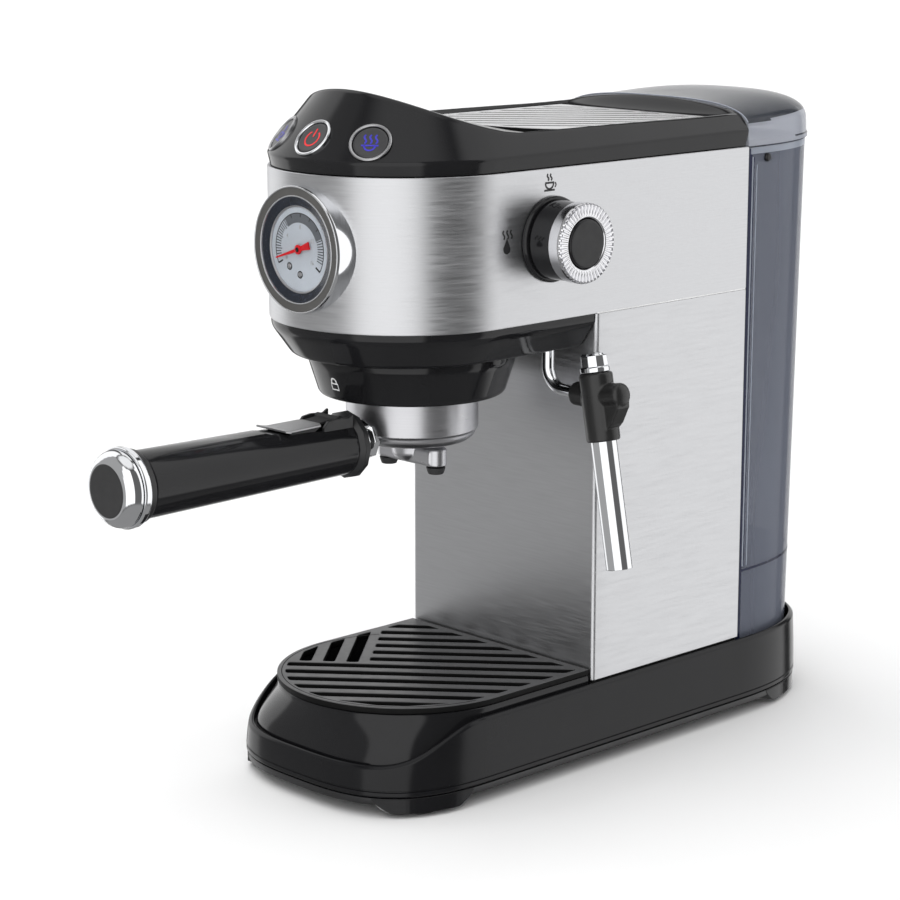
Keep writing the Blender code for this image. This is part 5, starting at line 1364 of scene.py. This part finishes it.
def build_clip(hinge):
    """The basket clip on the handle: its cheeks, and its barrel, strap, plate and flanks, which fold."""
    bracket = [(hinge.y + y, low_z, high_z) for y, low_z, high_z in
               ((0.0072, 0.1740, 0.1806), (0.0044, 0.1740, 0.1790), (-0.0030, 0.1740, 0.1796),
                (-0.0078, 0.1730, 0.1790), (-0.0104, 0.1744, 0.1764))]
    outline = [(y, low_z) for y, low_z, _ in bracket] + [(y, high_z) for y, _, high_z in reversed(bracket)]
    for side, name in SIDES:
        cheek = slab(f"clip_cheek_{name}", outline, (side * 0.0078, side * 0.0094), SATIN_BLACK)
        place(bevelled(cheek, 0.0003), "portafilter", "handle_plastic")

    barrel = turned("clip_barrel", [(0, 0), (0.0020, 0), (0.0020, 0.0150), (0, 0.0150)], MATT_BLACK,
                    (-0.0075, hinge.y, hinge.z - 0.0004), (1, 0, 0), radius=0.0002, segments=48)
    place(barrel, "clip", "satin_steel", "basket_clip")
    plan = ((0.0000, 0.0006, 0.0052), (-0.0100, -0.0002, 0.0056), (-0.0116, -0.0004, 0.0084),
            (-0.0296, -0.0006, 0.0088), (-0.0308, -0.0006, 0.0104), (-0.0340, 0.0002, 0.0104))
    for name, first, last, mat in (("strap", 0, 2, MATT_BLACK), ("plate", 2, 6, CLIP_STEEL)):
        rings = []
        for back, height, half_w in plan[max(first - 1, 0):last]:
            y, z = hinge.y + back, hinge.z + height
            rings.append([(-half_w, y, z - 0.0010), (half_w, y, z - 0.0010), (half_w, y, z), (-half_w, y, z)])
        place(bevelled(lofted(f"clip_{name}", rings, mat), 0.0002), "clip", "satin_steel")
    skirt = [(hinge.y + y, hinge.z + z) for y, z in
             ((-0.0116, -0.0014), (-0.0290, -0.0016), (-0.0290, -0.0034), (-0.0150, -0.0034))]
    for side, name in SIDES:
        flank = slab(f"clip_flank_{name}", skirt, (side * 0.0072, side * 0.0082), MATT_BLACK)
        place(bevelled(flank, 0.0002), "clip", "satin_steel")


# ---------------------------------------------------------------- steam wand
def build_wand():
    down = Vector((math.sin(WAND_TILT), 0, -math.cos(WAND_TILT)))
    across = Vector((math.cos(WAND_TILT), 0, math.sin(WAND_TILT)))
    bend = 0.0105
    knee_z = WAND_ELBOW.z + bend - 0.0002
    route = [(WAND_X, WAND_Y, 0.2320), (WAND_X, WAND_Y, 0.2150), (WAND_X, WAND_Y, knee_z + 0.0010)]
    for i in range(25):
        turn = math.pi / 2 * i / 24
        route.append((WAND_X + bend * (1 - math.cos(turn)), WAND_Y, knee_z - bend * math.sin(turn)))
    route.append((WAND_ELBOW.x - 0.0100, WAND_Y, WAND_ELBOW.z - 0.0004))
    place(tube("wand_pipe", route, 0.0029, CHROME), "wand", "bright_chrome", "steam_pipe")

    grip = plain_turned("wand_sleeve", [(0, -0.0112), (0.0068, -0.0112), (0.0079, -0.0104), (0.0079, 0.0198),
                                        (0.0076, 0.0206), (0, 0.0206)], 64, WAND_BLACK, WAND_ELBOW, down)
    boss = plain_turned("wand_boss", [(0, 0), (0.0050, 0), (0.0056, 0.0008), (0.0056, 0.0120), (0, 0.0120)],
                        48, WAND_BLACK, WAND_ELBOW + Vector((-0.0144, 0, -0.0004)), (1, 0, 0))
    lug_profile = [(0, 0), (0.0060, 0), (0.0057, 0.0150)]
    for i in range(1, 9):
        turn = math.pi / 2 * i / 8
        lug_profile.append((0.0057 * math.cos(turn), 0.0150 + 0.0030 * math.sin(turn)))
    lug = plain_turned("wand_lug", lug_profile, 48, WAND_BLACK, WAND_ELBOW - 0.0010 * across, across)
    web_plan = [across * out + down * drop for out, drop in
                ((0.0060, -0.0040), (0.0158, -0.0020), (0.0150, 0.0060), (0.0100, 0.0130), (0.0060, 0.0160))]
    rings = [[tuple(WAND_ELBOW + p + Vector((0, y, 0))) for p in web_plan] for y in (-0.0042, 0.0042)]
    web = lofted("wand_web", rings, WAND_BLACK)
    place(blended(grip, [boss, lug, web], 0.0005, 5), "wand", "wand_rubber", "wand_grip")
    cap_foot = WAND_ELBOW - 0.0115 * down
    collar = turned("wand_cap_collar", [(0, 0), (0.0070, 0), (0.0070, 0.0020), (0.0064, 0.0026), (0, 0.0026)],
                    CHROME, cap_foot, -down, radius=0.0003)
    place(collar, "wand", "bright_chrome")
    cap = turned("wand_cap_nut", [(0, 0.0024), (0.0064, 0.0024), (0.0062, 0.0074), (0.0052, 0.0086),
                                  (0, 0.0086)], CHROME, cap_foot, -down, radius=0, segments=10)
    place(bevelled(cap, 0.0003), "wand", "bright_chrome", "wand_cap")
    bore = WAND_TUBE_R - 0.0010
    pipe = turned("wand_nozzle", [(0, 0.0190), (WAND_TUBE_R, 0.0190), (WAND_TUBE_R, WAND_LENGTH),
                                  (bore, WAND_LENGTH), (bore, 0.0300), (0, 0.0300)],
                  CHROME, WAND_ELBOW, down, radius=[0, 0, 0.0003, 0.0003, 0, 0])
    place(pipe, "wand", "bright_chrome", "wand_tube")


# ---------------------------------------------------------------- water tank
def build_tank():
    levels = 14
    outer = []
    inner = []
    for i in range(levels + 1):
        z = TANK_LOW_Z + 0.0006 + (TANK_TOP_Z - TANK_LOW_Z - 0.0012) * i / levels
        outer.append(at_height(tank_outline(0, z), z))
        inner.append(at_height(tank_outline(TANK_WALL, z), z))
    rings = [at_height(tank_outline(0.0006, TANK_LOW_Z), TANK_LOW_Z), *outer,
             at_height(tank_outline(0.0006, TANK_TOP_Z), TANK_TOP_Z),
             at_height(tank_outline(TANK_WALL - 0.0006, TANK_TOP_Z), TANK_TOP_Z), *reversed(inner),
             at_height(tank_outline(TANK_WALL - 0.0006, TANK_LOW_Z), TANK_LOW_Z)]
    wall = lofted("tank_wall", rings, TANK_CLEAR, closed=True)
    pin_hole = round_tool("pin_hole", 0.0024, 0.140, 32, TANK_CLEAR, (-0.070, PIN_Y, PIN_Z), (1, 0, 0))
    place(carve(wall, pin_hole), "tank", "tank_clear", "tank_body")
    floor_top = TANK_FLOOR_Z + 0.0025
    floor = [at_height(tank_outline(TANK_WALL + inset, z), z) for inset, z in
             ((0.0040, TANK_FLOOR_Z), (0.0001, TANK_FLOOR_Z), (0.0001, floor_top), (0.0040, floor_top))]
    base = lofted("tank_floor", floor, TANK_CLEAR)
    valve_hole = round_tool("valve_hole", 0.0112, 0.010, 48, TANK_CLEAR,
                            (0, TANK_AXIS_Y, TANK_FLOOR_Z - 0.0030))
    place(carve(base, valve_hole), "tank", "tank_clear")

    def on_side(y, z, height):
        share = (z - TANK_LOW_Z) / (TANK_TOP_Z - TANK_LOW_Z)
        return Vector((0.0604 + 0.0008 * share + height, y, z))

    def upright(y, width, low_z, high_z):
        return [(y, low_z), (y, high_z)], width, False

    # The pale upright lines are painted light on the tank's side: a strip of refracted light behind the front
    # edge and a bright vertical highlight.
    dark = [upright(0.1112, 0.0028, 0.0240, 0.2900), upright(0.1141, 0.0004, 0.0780, 0.2860)]
    light = [upright(0.1131, 0.0010, 0.0780, 0.2860), upright(0.1164, 0.0006, 0.0780, 0.2820)]
    place(print_and_highlight("tank_front_lines", dark, [], on_side, EDGE_BLUE), "tank", "tank_clear")
    place(print_and_highlight("tank_front_painted_highlights", light, [], on_side, BAIL_CLEAR), "tank", "tank_clear")
    for name, low_z, high_z, mat in (("floor_line", 0.0752, 0.0764, EDGE_BLUE),
                                     ("neck", 0.2873, 0.2906, BAIL_CLEAR)):
        rings = [at_height(tank_outline(inset, z), z) for inset, z in
                 ((0.0004, low_z), (-0.0001, low_z), (-0.0001, high_z), (0.0004, high_z))]
        place(lofted(f"tank_{name}", rings, mat, closed=True), "tank", "tank_clear")

    half_w = 0.0538
    arm_in = half_w - 0.0016
    arm_end = 0.1480
    for side, name in SIDES:
        plan = [(PIN_Y - 0.0036, -0.0016), (PIN_Y - 0.0018, -0.0028), (arm_end - 0.0010, -0.0022),
                (arm_end - 0.0002, -0.0010), (arm_end - 0.0002, 0.0018), (arm_end - 0.0030, 0.0026),
                (PIN_Y - 0.0018, 0.0028), (PIN_Y - 0.0036, 0.0016)]
        arm = slab(f"bail_arm_{name}", [(y, PIN_Z + z) for y, z in plan],
                   (side * arm_in, side * half_w), BAIL_CLEAR)
        place(bevelled(arm, 0.0003), "bail", "tank_clear")
        pin = turned(f"bail_pin_{name}",
                     [(0, 0), (0.0021, 0), (0.0021, 0.0084), (0.0015, 0.0091), (0, 0.0092)],
                     GLOSS_BLACK, (side * 0.0530, PIN_Y, PIN_Z), (side, 0, 0), radius=0.0002, segments=32)
        place(pin, "bail", "tank_clear")
    section = rounded([(arm_end - 0.0070, PIN_Z - 0.0010), (arm_end, PIN_Z - 0.0010),
                       (arm_end, PIN_Z + 0.0012), (arm_end - 0.0070, PIN_Z + 0.0012)], 0.0006)
    bar = slab("bail_bar", section, (-half_w, -half_w / 2, 0, half_w / 2, half_w), BAIL_CLEAR)
    place(bar, "bail", "tank_clear", "tank_handle")
    build_lid()


def lid_plan(steps=72):
    """The lid's plan: flush with the hood in front, over the tank's round rear."""
    half_w = BODY_HALF_W - 0.0004
    depth = 0.0875
    points = [(-half_w + 2 * half_w * i / 16, LID_FRONT_Y) for i in range(16)]
    for i in range(steps + 1):
        x, y = superellipse(half_w, depth, 2.5, -math.pi * i / steps)
        points.append((x, max(BASE_REAR_Y + y, LID_FRONT_Y + 0.0004 * min(i, steps - i, 3))))
    return points


def lid_height(scale, y):
    """Height of the lid at a share of its outline: a low arch in front, fuller and higher to the rear."""
    rearwards = smoothstep((y - LID_FRONT_Y) / 0.065)
    crown = LID_ARCH_Z + (LID_TOP_Z - LID_ARCH_Z) * rearwards
    front = (1 - scale ** 3) ** 0.37
    rear = (1 - scale ** 3.8) ** 0.36
    return LID_BAND_Z + (crown - LID_BAND_Z) * (front + (rear - front) * rearwards)


def build_lid():
    focus = Vector((0, LID_FRONT_Y))
    outline = [Vector(p) for p in lid_plan()]
    shoulder = 0.993
    skirt = ((1.0, LID_LOW_Z), (1.0, LID_LOW_Z + 0.0020), (0.994, LID_LOW_Z + 0.0027),
             (shoulder, LID_LOW_Z + 0.0034))
    scales = [math.sin(math.pi / 2 * (1 - i / 26)) ** 0.8 for i in range(1, 26)]
    top = shoulder * max(scales)

    def ring(scale, level, inset):
        points = []
        for point in outline:
            moved = focus.lerp(point, scale)
            z = lid_height(scale / top, moved.y) if level is None else level
            x = moved.x - math.copysign(min(inset, abs(moved.x) / 2), moved.x)
            y = max(moved.y - inset * (moved.y - LID_FRONT_Y) / 0.08, LID_FRONT_Y + inset)
            points.append((x, y, z - inset))
        return points

    dome = [shoulder * scale for scale in scales]
    outer = [ring(scale, level, 0.0) for scale, level in skirt] + [ring(scale, None, 0.0) for scale in dome]
    inner = [ring(scale, None, LID_WALL) for scale in dome]
    foot = ring(1.0, LID_LOW_Z + LID_WALL, LID_WALL)
    shell = lofted("lid_shell", outer[::-1] + [foot] + inner, LID_CLEAR)
    shell.data.materials.append(LID_SMOKE)
    for polygon in shell.data.polygons:
        if abs(polygon.normal.z) > 0.5:
            polygon.material_index = 1
    place(shell, "lid", "lid_clear", "tank_lid")
    arch = []
    for i in range(49):
        share = math.sin(math.pi * (i / 48 - 0.5)) * 0.985
        x = share * (BODY_HALF_W - 0.0008)
        arch.append((x, LID_FRONT_Y + 0.0002, lid_height(abs(share), LID_FRONT_Y) + 0.0001))
    place(tube("lid_front_edge", arch, 0.00035, RIB_LIGHT, 3), "lid", "lid_clear")


# ---------------------------------------------------------------- kept pieces of the frame
KEPT = {
    "column_frame": SATIN_BLACK, "head_frame": INNER_GREY, "group_head": CAST_ALUMINIUM,
    "group_gasket": SEAL_RUBBER, "shower_screen": SATIN_STEEL, "switch_carrier": INNER_GREY,
    "gauge_body": INNER_GREY, "valve_stem": BRASS, "steam_valve": BRASS, "filter_basket": SATIN_STEEL,
    "tank_valve": SOCKET_GREY, "tank_socket": SILICONE, "thermoblock": CAST_ALUMINIUM, "pump": PUMP_BLUE,
    "control_board": BOARD_GREEN, "inlet_hose": SILICONE, "pressure_hose": SILICONE,
}


def dress_kept():
    for name, mat in KEPT.items():
        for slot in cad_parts[name].material_slots:
            slot.material = mat


# ---------------------------------------------------------------- stage
def build_stage():
    mesh = bpy.data.meshes.new("floor")
    reach = 12.0
    mesh.from_pydata([(-reach, -reach, 0), (reach, -reach, 0), (reach, reach, 0), (-reach, reach, 0)], [],
                     [(0, 1, 2, 3)])
    mat = new_material("floor_paper", (0.90, 0.90, 0.90), 0.8)
    vary_colour(mat, noise(mat, 3.0), (0.895, 0.895, 0.895), (0.905, 0.905, 0.905))
    mesh.materials.append(mat)
    floor = bpy.data.objects.new("floor", mesh)
    bpy.context.scene.collection.objects.link(floor)
    floor.visible_glossy = False


class Sky:
    """The studio as a world: tall soft boxes by direction, round a dim room."""

    def __init__(self):
        self.world = bpy.data.worlds.new("studio")
        self.world.use_nodes = True
        self.nodes = self.world.node_tree.nodes
        self.links = self.world.node_tree.links

    def math(self, operation, first, second=None):
        node = self.nodes.new("ShaderNodeMath")
        node.operation = operation
        for socket, value in zip(node.inputs, (first, second)):
            if value is None:
                continue
            if isinstance(value, (int, float)):
                socket.default_value = value
            else:
                self.links.new(value, socket)
        return node.outputs["Value"]

    def step(self, value, edge, soft):
        """0 below the edge and 1 above it."""
        node = self.nodes.new("ShaderNodeMapRange")
        node.interpolation_type = 'SMOOTHSTEP'
        node.inputs["From Min"].default_value = math.radians(edge - soft)
        node.inputs["From Max"].default_value = math.radians(edge + soft)
        self.links.new(value, node.inputs["Value"])
        return node.outputs["Result"]

    def between(self, value, low, high, soft):
        return self.math('MULTIPLY', self.step(value, low, soft),
                         self.math('SUBTRACT', 1.0, self.step(value, high, soft)))

    def build(self, boxes, room, top, ground):
        """Boxes are (from azimuth, to azimuth, from elevation, to elevation, strength), in degrees."""
        coords = self.nodes.new("ShaderNodeTexCoord")
        split = self.nodes.new("ShaderNodeSeparateXYZ")
        self.links.new(coords.outputs["Generated"], split.inputs["Vector"])
        azimuth = self.math('ARCTAN2', split.outputs["X"], self.math('MULTIPLY', split.outputs["Y"], -1.0))
        elevation = self.math('ARCSINE', split.outputs["Z"])
        walls = room
        for low, high, floor_el, top_el, strength in boxes:
            mask = self.math('MULTIPLY', self.between(azimuth, low, high, 3.0),
                             self.between(elevation, floor_el, top_el, 3.0))
            walls = self.math('ADD', walls, self.math('MULTIPLY', mask, strength))
        below = self.math('SUBTRACT', 1.0, self.step(elevation, -34.0, 6.0))
        walls = self.math('ADD', walls, self.math('MULTIPLY', below, ground))
        light = self.math('ADD', walls, self.math('MULTIPLY', self.step(elevation, 64.0, 6.0), top))
        path = self.nodes.new("ShaderNodeLightPath")
        seen = self.math('MAXIMUM', light, self.math('MULTIPLY', path.outputs["Is Camera Ray"], 4.0))
        background = self.nodes["Background"]
        background.inputs["Color"].default_value = (1.0, 1.0, 1.0, 1.0)
        self.links.new(seen, background.inputs["Strength"])
        bpy.context.scene.world = self.world


def build_lights():
    boxes = [(low, high, -32, 58, strength) for low, high, strength in
             ((2, 64, 1.28), (64, 118, 0.08), (-72, 2, 0.33), (118, 175, 1.12), (-115, -72, 1.1),
              (-170, -125, 0.9))]
    Sky().build(boxes, room=0.05, top=0.9, ground=0.22)
    for name, strength, spread_angle, tilt in (("overhead", 1.5, 60, (0.25, -0.2, 0)),
                                               ("fill", 0.5, 40, (0.9, 0.0, 0.9))):
        lamp = bpy.data.lights.new(name, 'SUN')
        lamp.energy = strength
        lamp.angle = math.radians(spread_angle)
        light = bpy.data.objects.new(name, lamp)
        light.rotation_euler = tilt
        light.visible_glossy = False
        bpy.context.scene.collection.objects.link(light)


def build_camera():
    azimuth = math.radians(46.15)
    elevation = math.radians(12.42)
    distance = 1.2517
    target = ORIGIN + Vector((0, -0.0345, 0.1514))
    towards = Vector((math.sin(azimuth) * math.cos(elevation), -math.cos(azimuth) * math.cos(elevation),
                      math.sin(elevation)))
    data = bpy.data.cameras.new("camera")
    data.lens = 104.24
    data.sensor_width = 36.0
    data.clip_start = 0.05
    camera = bpy.data.objects.new("camera", data)
    camera.location = target + towards * distance
    camera.rotation_mode = 'QUATERNION'
    camera.rotation_quaternion = towards.to_track_quat('Z', 'Y')
    bpy.context.scene.collection.objects.link(camera)
    bpy.context.scene.camera = camera
    bpy.context.scene.view_settings.view_transform = 'Standard'


build_base()
build_tray()
build_column()
build_head()
build_hood()
build_gauge()
build_knob()
build_portafilter()
build_wand()
build_tank()
dress_kept()
build_stage()
build_lights()
build_camera()
